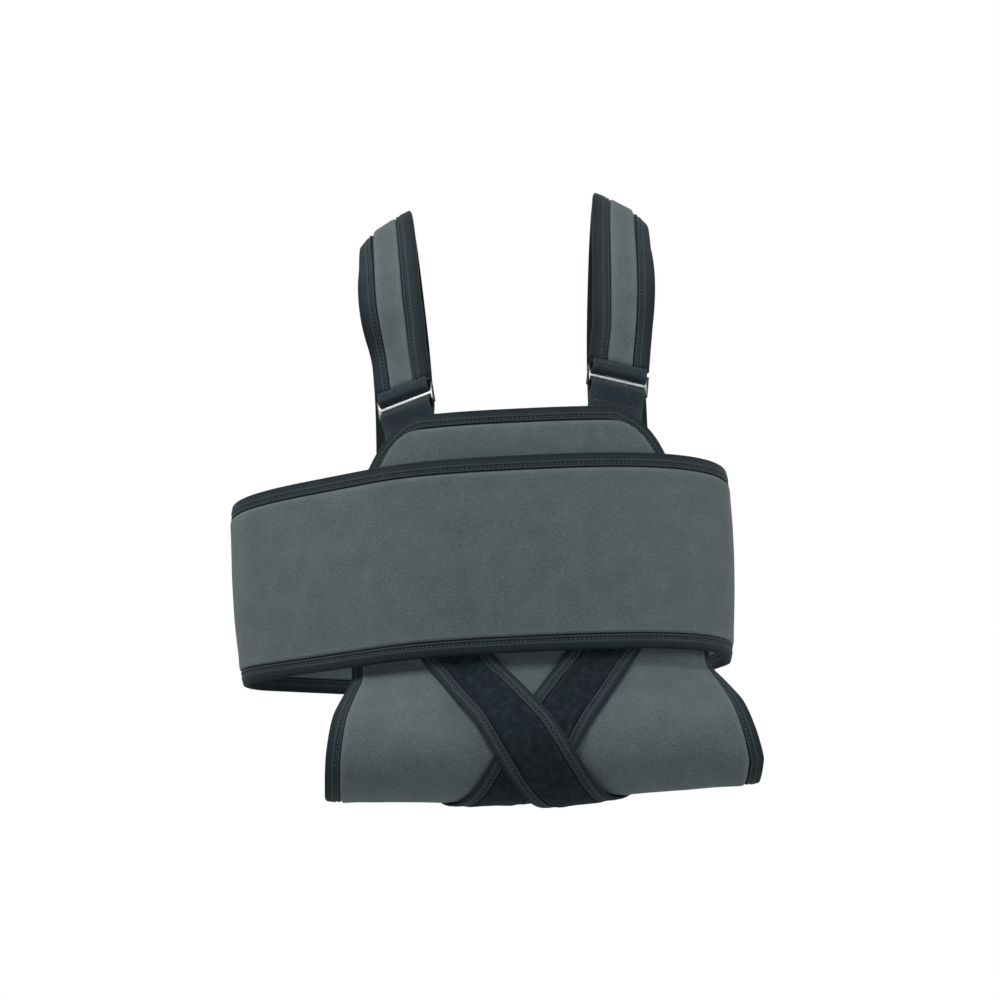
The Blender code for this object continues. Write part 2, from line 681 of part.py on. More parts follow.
class Strap:
    """A shoulder strap's middle line, by distance up from its buckle's middle bar."""

    def __init__(self, name, side):
        self.name = name
        self.side = side
        self.set_buckle_frame()
        self.set_rear_end()
        span = TAB_LENGTH / 2
        leans = (COLLAR_LEAN, RIDGE_LEAN, SHOULDER_LEAN, BLADE_LEAN, MIDBACK_LEAN)
        over = (COLLAR_POINT, RIDGE_POINT, SHOULDER_POINT, BLADE_POINT, MIDBACK_POINT)
        knots = [self.buckle + self.v * span * k for k in (-1, 0, 1, 2)]
        widths = [self.u] * 4
        knots += [Vector((side * x, y, z + side * SHOULDER_TILT)) for x, y, z in over]
        widths += [Vector((math.cos(lean), 0.0, -side * math.sin(lean))) for lean in leans]
        knots += [self.rear_end, self.rear_end - UP * span]
        widths += [self.rear_across] * 2
        self.points = smooth_curve(knots)
        self.widths = smooth_curve(widths)
        steps = np.linalg.norm(np.diff(self.points, axis=0), axis=1)
        along = np.concatenate([[0.0], np.cumsum(steps)])
        self.along = along - along[CURVE_STEPS]
        self.length = self.along[-1 - CURVE_STEPS]

    def set_buckle_frame(self):
        """Buckle centre, and unit vectors across the strap, up it and out of it."""
        z = BUCKLE_Z + self.side * SHOULDER_TILT
        out = BACK_LAYER - FOAM / 2 - TAB_CLEARANCE - TAB_STEM / 2
        out -= math.tan(CHEST_LEAN) * (z - CHEST_LEAN_FROM)
        s = BODY.find_layer(self.side * BUCKLE_X, out, z)
        self.buckle = BODY.point(s, out, z)
        normal = BODY.normal(s)
        across = UP.cross(normal)
        lean = CHEST_LEAN - BODY_TAPER
        upward = UP * math.cos(lean) - normal * math.sin(lean)
        splay = self.side * STRAP_SPLAY
        self.u = across * math.cos(splay) - upward * math.sin(splay)
        self.v = upward * math.cos(splay) + across * math.sin(splay)
        self.n = self.u.cross(self.v)

    def set_rear_end(self):
        """Where the strap meets its rear tab, just above the back of the belt."""
        s = BODY.find(self.side * REAR_X, front=False)
        self.rear_s = s - BODY.length if s > BACK_MIDDLE else s
        self.rear_z = BELT_HEIGHT / 2 + REAR_RISE
        self.rear_out = FOAM + 2 * LAYER_GAP + HOOK + REAR_TAB / 2
        self.rear_end = belt_point(self.rear_s, self.rear_out, self.rear_z)
        self.rear_normal = BODY.normal(self.rear_s)
        self.rear_across = self.rear_normal.cross(UP)

    def frame(self, distance):
        """Point, across, up and outward vectors at a distance along the strap."""
        def read(values, d):
            return Vector([np.interp(d, self.along, values[:, k]) for k in range(3)])

        ahead = read(self.points, distance + SURFACE_STEP)
        behind = read(self.points, distance - SURFACE_STEP)
        forward = (ahead - behind).normalized()
        across = read(self.widths, distance)
        across = (across - forward * across.dot(forward)).normalized()
        return read(self.points, distance), across, forward, across.cross(forward)

    def point(self, distance, across, out):
        place, u, _, n = self.frame(distance)
        return place + u * across + n * out

    def local(self, across, up, out):
        """A point given in the buckle's own frame."""
        return self.buckle + self.u * across + self.v * up + self.n * out


def strap_ribbon(strap, name, distances, half_width, out, thickness, material, pivot=Vector()):
    """Flat ribbon that follows a shoulder strap."""
    sides = (-half_width, half_width)
    outer = [[strap.point(d, a, out + thickness / 2) for a in sides] for d in distances]
    inner = [[strap.point(d, a, out - thickness / 2) for a in sides] for d in distances]
    return slab(name, outer, inner, material, pivot)


def build_strap_pad(strap, grey, tape):
    half = STRAP_WIDTH / 2 - TAPE_GAP - TAPE
    distances = np.linspace(PAD_START, strap.length - REAR_GAP, STRAP_STATIONS)
    offsets = edge_offsets(STRAP_TAPE_WIDTH)
    places = [-half + e for e in offsets] + [half - e for e in reversed(offsets)]
    halves = [(a, squeezed_half(half - abs(a), STRAP_THICKNESS, STRAP_TAPE_WIDTH)) for a in places]
    outer = [[strap.point(d, a, h) for a, h in halves] for d in distances]
    inner = [[strap.point(d, a, -h) for a, h in halves] for d in distances]
    slab(f"{strap.name}_shoulder_pad", outer, inner, grey)
    for edge, sign in (("inner", -strap.side), ("outer", strap.side)):
        stations = []
        for d in distances:
            _, across, _, normal = strap.frame(d)
            stations.append((strap.point(d, sign * half, 0.0), across * -sign, normal))
        edge_tape(f"{strap.name}_shoulder_{edge}_binding", stations, STRAP_THICKNESS, tape, STRAP_TAPE_WIDTH)


def build_end_loop(strap, tape):
    """Webbing sewn to the pad's lower end and turned up behind it round the buckle's upper bar."""
    radius = STRAP_THICKNESS / 2 + GAP
    turns = np.linspace(0.0, -math.pi, LOOP_STEPS + 1)
    path = [(LOOP_FRONT, 1.0)] + [(math.sin(t), math.cos(t)) for t in turns] + [(LOOP_FRONT, -1.0)]

    def layer(extra):
        grid = []
        reach = radius + extra
        for k, (up, out) in enumerate(path):
            height = up if k in (0, len(path) - 1) else BUCKLE_PITCH + up * reach
            grid.append([strap.local(a, height, out * reach) for a in (-LOOP_WIDTH / 2, LOOP_WIDTH / 2)])
        return grid

    slab(f"{strap.name}_strap_end_loop", layer(WEBBING), layer(0.0), tape)


def build_tail(strap, tape, hook):
    """Free end of that webbing behind the pad, with its hook patch."""
    start = LOOP_FRONT + GAP
    end = start + TAIL_LENGTH
    hooked = list(np.linspace(start + 2 * HOOK_MARGIN, end - HOOK_MARGIN, HOOK_STEPS + 1))
    hook_out = -(STRAP_THICKNESS / 2 + TAIL_GAP + HOOK / 2)
    tail_out = hook_out - HOOK / 2 - LAYER_GAP - WEBBING / 2
    pivot = strap.point(start, 0.0, tail_out - WEBBING / 2 - GAP)
    whole = [start] + hooked + [end]
    strap_ribbon(strap, f"{strap.name}_strap_tail", whole, TAIL_WIDTH / 2, tail_out, WEBBING, tape, pivot)
    half = TAIL_WIDTH / 2 - HOOK_MARGIN
    strap_ribbon(strap, f"{strap.name}_strap_tail_hook", hooked, half, hook_out, HOOK, hook, pivot)


def build_buckle(strap, metal):
    """Flat buckle with three bars and two slots, free to turn on its upper bar."""
    slot = LOOP_WIDTH / 2 + LOOP_SIDE_GAP
    across = [-slot - BUCKLE_SIDE, -slot, slot, slot + BUCKLE_SIDE]
    heights = []
    for bar in (-BUCKLE_PITCH, 0.0, BUCKLE_PITCH):
        heights += [bar - BUCKLE_BAR / 2, bar + BUCKLE_BAR / 2]
    cells = []
    for row in range(5):
        for column in range(3):
            if column == 1 and row % 2 == 1:
                continue
            x0, x1 = across[column:column + 2]
            y0, y1 = heights[row:row + 2]
            cells.append([(x0, y0), (x1, y0), (x1, y1), (x0, y1)])
    pivot = strap.local(0.0, BUCKLE_PITCH, 0.0)
    prism(f"{strap.name}_buckle", cells, strap.local, BUCKLE_THICKNESS, metal, pivot)


def build_front_tab(strap, tape):
    """Webbing tab behind the chest panel, with an eye round the buckle's lower bar."""
    outer = TAB_EYE + WEBBING
    open_angle = math.asin(TAB_STEM / 2 / outer)
    angles = np.linspace(open_angle, 2 * math.pi - open_angle, EYE_STEPS + 1)
    rim = [(-BUCKLE_PITCH - outer * math.cos(a), outer * math.sin(a)) for a in angles]
    eye = [(-BUCKLE_PITCH - TAB_EYE * math.cos(a), TAB_EYE * math.sin(a)) for a in angles]
    polygons = []
    for k in range(len(angles)):
        follow = (k + 1) % len(angles)
        polygons.append([rim[k], rim[follow], eye[follow], eye[k]])
    end = -TAB_LENGTH
    polygons.append([rim[0], rim[-1], (end, -TAB_STEM / 2), (end, TAB_STEM / 2)])

    def place(up, out, across):
        return strap.local(across, up, out)

    prism(f"{strap.name}_front_tab", polygons, place, LOOP_WIDTH, tape)


def build_rear_tab(strap, tape, hook):
    """Tab that hangs from the pad's rear end and fastens on the back of the belt."""
    middle = strap.rear_out
    pivot = belt_point(strap.rear_s, middle + REAR_TAB / 2 + GAP, strap.rear_z)

    def sheet(name, half_width, low, high, out, thickness, material):
        places = [strap.rear_s + a for a in np.linspace(-half_width, half_width, TAB_STEPS + 1)]
        outer = [[belt_point(s, out + thickness / 2, z) for s in places] for z in (low, high)]
        inner = [[belt_point(s, out - thickness / 2, z) for s in places] for z in (low, high)]
        slab(name, outer, inner, material, pivot)

    low = strap.rear_z - REAR_TAB_LENGTH
    sheet(f"{strap.name}_rear_tab", STRAP_WIDTH / 2, low, strap.rear_z - GAP, middle, REAR_TAB, tape)
    hook_out = middle - REAR_TAB / 2 - LAYER_GAP - HOOK / 2
    hook_high = BELT_HEIGHT / 2 - TAPE_WIDTH - HOOK_MARGIN
    half = STRAP_WIDTH / 2 - HOOK_MARGIN
    sheet(f"{strap.name}_rear_hook", half, low + HOOK_MARGIN, hook_high, hook_out, HOOK, hook)


def main():
    clear_scene()
    grey = finish("grey_foam_fabric", (0.093, 0.117, 0.125), 0.92)
    tape = finish("black_binding_tape", (0.026, 0.036, 0.044), 0.85)
    pile = finish("black_loop_pile", (0.012, 0.020, 0.024), 0.95)
    hook = finish("black_hook_tape", (0.018, 0.022, 0.026), 0.75)
    metal = finish("plated_buckle", (0.72, 0.72, 0.70), 0.30, 1.0)

    build_belt(grey, tape, hook)
    build_pouch_front(grey, tape)
    build_pouch_back(grey, tape)
    build_cross_strap("cross_strap_over", 1, True, pile, tape)
    build_cross_strap("cross_strap_under", -1, False, pile, tape)
    for name, side in (("left", -1), ("right", 1)):
        strap = Strap(name, side)
        build_strap_pad(strap, grey, tape)
        build_end_loop(strap, tape)
        build_tail(strap, tape, hook)
        build_buckle(strap, metal)
        build_front_tab(strap, tape)
        build_rear_tab(strap, tape, hook)


main()
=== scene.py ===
"""Arm sling: the look of every piece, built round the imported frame.

Sizes are in metres. The wearer faces -Y, +X is the right-hand side seen from the front, and +Z
is up. The shapes of the body, belt, pouch and straps follow the same values as the solids.
"""
import math
from functools import lru_cache

import bmesh
import bpy
import numpy as np
from mathutils import Matrix, Vector, noise


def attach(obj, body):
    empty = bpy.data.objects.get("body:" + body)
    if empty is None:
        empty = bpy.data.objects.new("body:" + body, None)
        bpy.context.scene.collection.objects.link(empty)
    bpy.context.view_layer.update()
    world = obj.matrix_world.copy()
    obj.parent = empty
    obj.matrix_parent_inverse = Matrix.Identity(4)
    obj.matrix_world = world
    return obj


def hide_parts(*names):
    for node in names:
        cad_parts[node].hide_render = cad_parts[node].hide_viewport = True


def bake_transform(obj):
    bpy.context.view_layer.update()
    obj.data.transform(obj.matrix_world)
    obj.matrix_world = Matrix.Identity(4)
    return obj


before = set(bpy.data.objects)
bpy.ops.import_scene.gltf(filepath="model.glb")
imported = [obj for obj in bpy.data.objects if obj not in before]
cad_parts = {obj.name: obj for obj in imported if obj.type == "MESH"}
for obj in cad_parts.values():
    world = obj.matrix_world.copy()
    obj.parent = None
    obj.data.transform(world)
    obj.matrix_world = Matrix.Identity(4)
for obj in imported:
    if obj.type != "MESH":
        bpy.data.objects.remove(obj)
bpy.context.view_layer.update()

# The body inside the belt: a chest, a flat back, and one upper arm beside them
CHEST_CENTRE_X = 0.007
CHEST_HALF_WIDTH = 0.155
CHEST_HALF_DEPTH = 0.125
CHEST_SQUARENESS = 2.7
BACK_DEPTH = 0.122
BACK_FLAT_HALF = 0.060
BACK_ROUNDING = 0.084
ARM_CENTRE_X = -0.180
ARM_RADIUS = 0.042
BODY_TAPER = math.radians(2.1)
CHEST_LEAN = math.radians(10)
CHEST_LEAN_FROM = 0.060

# Cloth, tape and the gaps between layers
FOAM = 0.005
TAPE = 0.0008
TAPE_WIDTH = 0.011
GAP = 0.0003
TAPE_GAP = 0.0005
LAYER_GAP = 0.0005
BELT_GAP = 0.0012
WEBBING = 0.0012
HOOK = 0.0015

# Belt
BELT_HEIGHT = 0.150
FLAP_HALF = 0.058
FLAP_RISE_FLAT = 0.012
FLAP_RISE_RUN = 0.090
PATCH_WIDTH = 0.090
PATCH_HEIGHT = 0.110
LAP_BEFORE_HINGE = 0.020
LAP_BEND = 0.010
BELT_BULGE = 0.0035
ARM_DIP = 0.0050
ARM_DIP_RUN = 0.040

# Pouch
POUCH_GAP = 0.0015
POUCH_SEAM_GAP = 0.0015
POUCH_TUCK = 0.095
POUCH_DROP = 0.010
POUCH_EASE = 0.010
POUCH_BOTTOM = -0.184
POUCH_RADIUS = 0.034
POUCH_SET_BACK = 0.030
POUCH_TOP_LEFT = 0.148
POUCH_TOP_RIGHT = 0.170
POUCH_LOW_LEFT = 0.156
POUCH_LOW_RIGHT = 0.175
POUCH_BOW_LEFT = 0.012
POUCH_BOW_RIGHT = 0.026
POUCH_END_RISE = 0.006
POUCH_END_PULL = 0.003
POUCH_WIDEN_LEFT = math.radians(75)
POUCH_WIDEN_RIGHT = math.radians(35)
POUCH_FLARE = 0.85

# Upper part of the pouch's back panel, which shows above the belt
CHEST_TOP = 0.116
CHEST_WIDTH_AT_BELT = 0.131
CHEST_WIDTH_AT_TOP = 0.107
CHEST_CORNER = 0.030

# Crossed pile straps on the front of the pouch
CROSS_WIDTH = 0.050
CROSS_THICKNESS = 0.0032
CROSS_TAPE_WIDTH = 0.0095
CROSS_ANGLE = math.radians(34.5)
CROSS_X = 0.004
CROSS_DOWN = 0.076
CROSS_TUCK = 0.035
CROSS_END = 0.152
CROSS_LIFT_FLAT = 0.040
CROSS_LIFT_RUN = 0.042

# Shoulder straps
STRAP_WIDTH = 0.050
STRAP_THICKNESS = 0.006
STRAP_TAPE_WIDTH = 0.0135
BUCKLE_X = 0.083
BUCKLE_Z = 0.1365
STRAP_SPLAY = math.radians(11)
SHOULDER_TILT = 0.004
COLLAR_POINT = (0.0930, -0.066, 0.220)
RIDGE_POINT = (0.0950, -0.038, 0.266)
SHOULDER_POINT = (0.0970, 0.004, 0.304)
BLADE_POINT = (0.0950, 0.062, 0.271)
MIDBACK_POINT = (0.0910, 0.108, 0.186)
COLLAR_LEAN = math.radians(15)
RIDGE_LEAN = math.radians(24)
SHOULDER_LEAN = math.radians(30)
BLADE_LEAN = math.radians(22)
MIDBACK_LEAN = math.radians(7)
CUP = 0.006
CUP_FROM = 0.002
CUP_Z = 0.225
CUP_RUN = 0.060
REAR_X = 0.088
REAR_RISE = 0.010
REAR_GAP = 0.0015

# Buckles, webbing loops and hook tabs
BUCKLE_PITCH = 0.0075
BUCKLE_EDGE = 0.0005
LOOP_WIDTH = 0.045
LOOP_FRONT = 0.0135
LOOP_REAR = 0.020
PAD_START = 0.0128
TAB_EYE = 0.0036
TAB_STEM = 0.0026
TAB_LENGTH = 0.048
TAB_CLEARANCE = 0.0050
TAIL_START = 0.0203
TAIL_ROOT = 0.012
TAIL_LENGTH = 0.060
TAIL_GAP = 0.0015
TAIL_WIDTH = 0.040
REAR_TAB_LENGTH = 0.085
REAR_TAB = 0.0020
REAR_TAB_SEWN = 0.014
REAR_TAB_STEP = 0.0023
HOOK_MARGIN = 0.003

# Padding: pressed thin under its tape, then a soft roll beside it
ROLL_RUN = 0.0024
SWELL = 0.0005
SWELL_AT = 0.0045
SWELL_RUN = 0.0050
# Width of the painted shade in the seam beside a tape
SEAM_RUN = 0.0011
DENT_SIZE = 0.055
DENT = 0.0005

# Cloth simulation that plumps the padding
BELT_PRESSURE = 4.0
PAD_PRESSURE = 20.0
CLOTH_FRAMES = 20
PLUMP_CAP = 0.0025
PLUMP_RIM = 0.004
PLUMP_END = 0.030

# Edge tape: two ridges with a sewn groove between them
GROOVE_IN = 0.0028
GROOVE_DEPTH = 0.00055
FOLD_STEPS = 5

# Thread
STITCH_PITCH = 0.0034
STITCH_LENGTH = 0.0026
THREAD = 0.00033
STITCH_SIDES = 5

# Grain of the meshes
PANEL_STEP = 0.006
TAPE_STEP = 0.005
CURVE_STEPS = 24
ROLL_ROWS = (0.0, 0.0005, 0.0011, 0.0019, 0.0030, 0.0048, 0.0080)
CORNER_STEPS = 10
OUTLINE_STEPS = 180
SURFACE_STEP = 0.0015
LAYER_SEARCH = 0.040
OUTLINE_SEARCH = 0.00003

# Camera, from the photograph
CAMERA_AT = (-0.0131, -2.100, -0.3521)
CAMERA_LENS = 95.575
CAMERA_SENSOR = 36.0
CAMERA_PITCH = 0.197
CAMERA_ROLL = 0.046
FLOOR_Z = -0.372
FLOOR_REACH = 3.0

UP = Vector((0.0, 0.0, 1.0))


def smooth(share):
    share = min(max(share, 0.0), 1.0)
    return share * share * (3.0 - 2.0 * share)


def convex_hull(points):
    """Corners of the outline that a taut band takes, counter-clockwise."""
    def chain(run):
        hull = []
        for p in run:
            while len(hull) > 1:
                (ax, ay), (bx, by) = hull[-2], hull[-1]
                if (bx - ax) * (p[1] - ay) - (by - ay) * (p[0] - ax) > 0:
                    break
                hull.pop()
            hull.append(p)
        return hull[:-1]

    ordered = sorted(points)
    return chain(ordered) + chain(ordered[::-1])


class Outline:
    """Plan of the body at belt height, by distance from the middle of its front."""

    def __init__(self, corners):
        closed = np.array(corners + corners[:1])
        along = np.concatenate([[0.0], np.cumsum(np.hypot(*np.diff(closed, axis=0).T))])
        self.length = along[-1]
        laps = range(-2, 4)
        self.along = np.concatenate([along[:-1] + lap * self.length for lap in laps])
        self.x = np.tile(closed[:-1, 0], len(laps))
        self.y = np.tile(closed[:-1, 1], len(laps))
        self.start = 0.0
        self.start = self.find(0.0, front=True)

    def at(self, s):
        s = s + self.start
        return Vector((np.interp(s, self.along, self.x), np.interp(s, self.along, self.y), 0.0))

    def normal(self, s):
        return self.place(s)[1]

    @lru_cache(maxsize=None)
    def place(self, s):
        """Point and outward direction of the outline."""
        run = self.at(s + SURFACE_STEP) - self.at(s - SURFACE_STEP)
        return self.at(s), Vector((run.y, -run.x, 0.0)).normalized()

    def point(self, s, out, z):
        """A point at a distance outward from the body, which narrows downwards."""
        middle, normal = self.place(s)
        place = middle + normal * (out + z * math.tan(BODY_TAPER))
        return Vector((place.x, place.y, z))

    def find(self, x, front):
        """Distance along the outline to a given x on the front or the back."""
        fine = np.arange(0.0, self.length, OUTLINE_SEARCH)
        places = fine + self.start
        xs = np.interp(places, self.along, self.x)
        ys = np.interp(places, self.along, self.y)
        side = ys < 0.0 if front else ys > 0.0
        return float(fine[side][np.argmin(np.abs(xs[side] - x))])

    def find_layer(self, x, out, z):
        """Distance along the front to a given x on a layer inside the body's outline."""
        near = self.find(x, front=True)
        lap = round(near / self.length) * self.length
        tries = np.arange(near - lap - LAYER_SEARCH, near - lap + LAYER_SEARCH, GAP)
        return float(min(tries, key=lambda s: abs(self.point(s, out, z).x - x)))


def body_outline():
    """A band drawn taut round the chest, the back and the upper arm."""
    corners = []
    power = 2.0 / CHEST_SQUARENESS
    for angle in np.linspace(math.pi, 2 * math.pi, OUTLINE_STEPS + 1):
        c = math.cos(angle)
        s = abs(math.sin(angle))
        x = CHEST_CENTRE_X + CHEST_HALF_WIDTH * math.copysign(abs(c) ** power, c)
        corners.append((x, -CHEST_HALF_DEPTH * s ** power))
    rounds = [(side * BACK_FLAT_HALF, BACK_DEPTH - BACK_ROUNDING, BACK_ROUNDING) for side in (-1, 1)]
    rounds.append((ARM_CENTRE_X, 0.0, ARM_RADIUS))
    for x, y, radius in rounds:
        for angle in np.linspace(0.0, 2 * math.pi, OUTLINE_STEPS, endpoint=False):
            corners.append((x + radius * math.cos(angle), y + radius * math.sin(angle)))
    return Outline(convex_hull(corners))


BODY = body_outline()

# Belt lap: the end that comes round the left lies over the end that comes round the right
BACK_MIDDLE = BODY.find(0.0, front=False)
INNER_END = BACK_MIDDLE + FLAP_HALF
HINGE_AT = INNER_END - BODY.length
FLAP_END = BACK_MIDDLE - FLAP_HALF - BODY.length
FLAP_LIFT = FOAM + 2 * HOOK + 3 * LAYER_GAP
ARM_AT = float(min(np.arange(HINGE_AT, 0.0, SURFACE_STEP), key=lambda s: BODY.at(s).x))
BELT_EDGE = BELT_HEIGHT / 2 - TAPE_GAP - TAPE

# Layers inside the belt, as distances outward from its inner face
FRONT_LAYER = -(BELT_GAP + CROSS_THICKNESS + LAYER_GAP + FOAM / 2)
BACK_LAYER = FRONT_LAYER - FOAM - POUCH_GAP
POUCH_START = -BELT_HEIGHT / 2 - POUCH_DROP
POUCH_CENTRE_Y = BODY.point(0.0, BACK_LAYER, POUCH_START).y - POUCH_RADIUS + POUCH_SET_BACK
POUCH_CENTRE_Z = POUCH_BOTTOM + FOAM / 2 + POUCH_RADIUS


def belt_lift(s):
    """How far the outer lap of the belt stands off the body."""
    return FLAP_LIFT * (1.0 - smooth((s - HINGE_AT - FLAP_RISE_FLAT) / FLAP_RISE_RUN))


def belt_point(s, z, out):
    """A point of the belt, which bows out between its edges and dips at the top over the arm."""
    height = 2 * z / BELT_HEIGHT
    bow = BELT_BULGE * max(0.0, 1.0 - height * height)
    dip = ARM_DIP * math.exp(-((s - ARM_AT) / ARM_DIP_RUN) ** 2) * smooth(height)
    return BODY.point(s, belt_lift(s) + bow + out, z - dip)


def pouch_side(p, left, right):
    return right if p > 0 else left


@lru_cache(maxsize=None)
def pouch_profile(p):
    """The front panel's section at a share p of the pouch's length, from -1 to 1."""
    top = BODY.point(p * pouch_side(p, POUCH_TOP_LEFT, POUCH_TOP_RIGHT), FRONT_LAYER, POUCH_START)
    low_x = p * pouch_side(p, POUCH_LOW_LEFT, POUCH_LOW_RIGHT)
    bow = p * p * pouch_side(p, POUCH_BOW_LEFT, POUCH_BOW_RIGHT)
    centre = Vector((low_x, POUCH_CENTRE_Y + bow, POUCH_CENTRE_Z + p * p * POUCH_END_RISE))
    back = top.y - centre.y
    rise = top.z - centre.z
    reach = math.hypot(back, rise)
    slope = math.atan2(back, rise) + math.asin(POUCH_RADIUS / reach)
    run = math.sqrt(reach * reach - POUCH_RADIUS ** 2)
    return top, centre, slope, run


@lru_cache(maxsize=None)
def front_middle(p, down):
    """Middle of the front panel, down from the belt, round the forearm and up behind it."""
    if abs(down) < POUCH_EASE:
        share = (down + POUCH_EASE) / (2 * POUCH_EASE)
        bend, above, below = (front_line(p, d) for d in (0.0, -POUCH_EASE, POUCH_EASE))
        return above.lerp(bend, share).lerp(bend.lerp(below, share), share)
    return front_line(p, down)


def front_line(p, down):
    """The same line before the bend below the belt is eased."""
    top, centre, slope, run = pouch_profile(p)
    if down <= 0.0:
        around = p * pouch_side(p, POUCH_TOP_LEFT, POUCH_TOP_RIGHT)
        return BODY.point(around, FRONT_LAYER, POUCH_START - down)
    widest = run + POUCH_RADIUS * (slope + pouch_side(p, POUCH_WIDEN_LEFT, POUCH_WIDEN_RIGHT))
    x = top.x + (centre.x - top.x) * min(down / widest, 1.0) ** POUCH_FLARE
    if down <= run:
        return Vector((x, top.y - down * math.sin(slope), top.z - down * math.cos(slope)))
    angle = slope - (down - run) / POUCH_RADIUS
    x -= p * POUCH_END_PULL * smooth(-angle / (math.pi / 2))
    return Vector((x, centre.y - POUCH_RADIUS * math.cos(angle), centre.z + POUCH_RADIUS * math.sin(angle)))


@lru_cache(maxsize=None)
def front_normal(p, down):
    """Unit vector square out of the pouch's front panel."""
    step = SURFACE_STEP / POUCH_LOW_RIGHT
    along = front_middle(p + step, down) - front_middle(p - step, down)
    below = front_middle(p, down + SURFACE_STEP) - front_middle(p, down - SURFACE_STEP)
    return below.cross(along).normalized()


def front_point(p, down, out):
    return front_middle(p, down) + front_normal(p, down) * out


def back_width(z, right):
    """Half width of the back panel at a height, measured round the body."""
    wide = POUCH_TOP_RIGHT if right else POUCH_TOP_LEFT
    heights = (POUCH_START, BELT_HEIGHT / 2, CHEST_TOP)
    return float(np.interp(z, heights, (wide, CHEST_WIDTH_AT_BELT, CHEST_WIDTH_AT_TOP)))


def back_point(s, z, out):
    """A point on or off the back panel, which follows the chest and then backs the forearm."""
    lean = math.tan(CHEST_LEAN) * max(0.0, z - CHEST_LEAN_FROM)
    if z >= POUCH_START:
        return BODY.point(s, BACK_LAYER - lean + out, z)
    p = s / back_width(POUCH_START, s > 0)
    share = smooth((POUCH_START - z) / (POUCH_START - POUCH_CENTRE_Z))
    body = BODY.point(s, BACK_LAYER + out, z)
    centre = pouch_profile(p)[1]
    pouch = Vector((centre.x - p * POUCH_END_PULL, centre.y + POUCH_RADIUS - out, z))
    return body.lerp(pouch, share)


def chest_top(from_side):
    """Height of the chest panel's top edge, rounded at its corners."""
    if from_side >= CHEST_CORNER:
        return CHEST_TOP
    return CHEST_TOP - CHEST_CORNER + math.sqrt(CHEST_CORNER ** 2 - (CHEST_CORNER - from_side) ** 2)


def from_rim(s, z):
    """Distance from a point of the back panel to its taped sides and top."""
    side = back_width(z, s > 0) - abs(s)
    top = CHEST_TOP - z
    if side < CHEST_CORNER and top < CHEST_CORNER:
        return CHEST_CORNER - math.hypot(CHEST_CORNER - side, CHEST_CORNER - top)
    return min(side, top)


def cross_place(turn, along, across):
    """Where a point of a crossed strap lies on the pouch, as a share and a distance down."""
    x = CROSS_X + turn * along * math.sin(CROSS_ANGLE) + across * math.cos(CROSS_ANGLE)
    down = CROSS_DOWN + along * math.cos(CROSS_ANGLE) - turn * across * math.sin(CROSS_ANGLE)
    return x / pouch_side(x, POUCH_LOW_LEFT, POUCH_LOW_RIGHT), down


def cross_point(turn, over, along, across, out):
    p, down = cross_place(turn, along, across)
    height = FOAM / 2 + LAYER_GAP + CROSS_THICKNESS / 2
    if over:
        lift = 1.0 - smooth((abs(along) - CROSS_LIFT_FLAT) / CROSS_LIFT_RUN)
        height += (CROSS_THICKNESS + LAYER_GAP) * lift
    return front_point(p, down, height + out)


def smooth_curve(knots):
    """Points of a curve through every knot."""
    knots = [np.array(k) for k in knots]
    padded = [2 * knots[0] - knots[1]] + knots + [2 * knots[-1] - knots[-2]]
    curve = []
    for a, b, c, d in zip(padded, padded[1:], padded[2:], padded[3:]):
        for t in np.linspace(0.0, 1.0, CURVE_STEPS, endpoint=False):
            curve.append(0.5 * (2 * b + (c - a) * t + (2 * a - 5 * b + 4 * c - d) * t ** 2
                                + (3 * b - a - 3 * c + d) * t ** 3))
    return np.array(curve + [knots[-1]])


def distances(points):
    """Running length along a row of points."""
    steps = np.linalg.norm(np.diff(points, axis=0), axis=1)
    return np.concatenate([[0.0], np.cumsum(steps)])


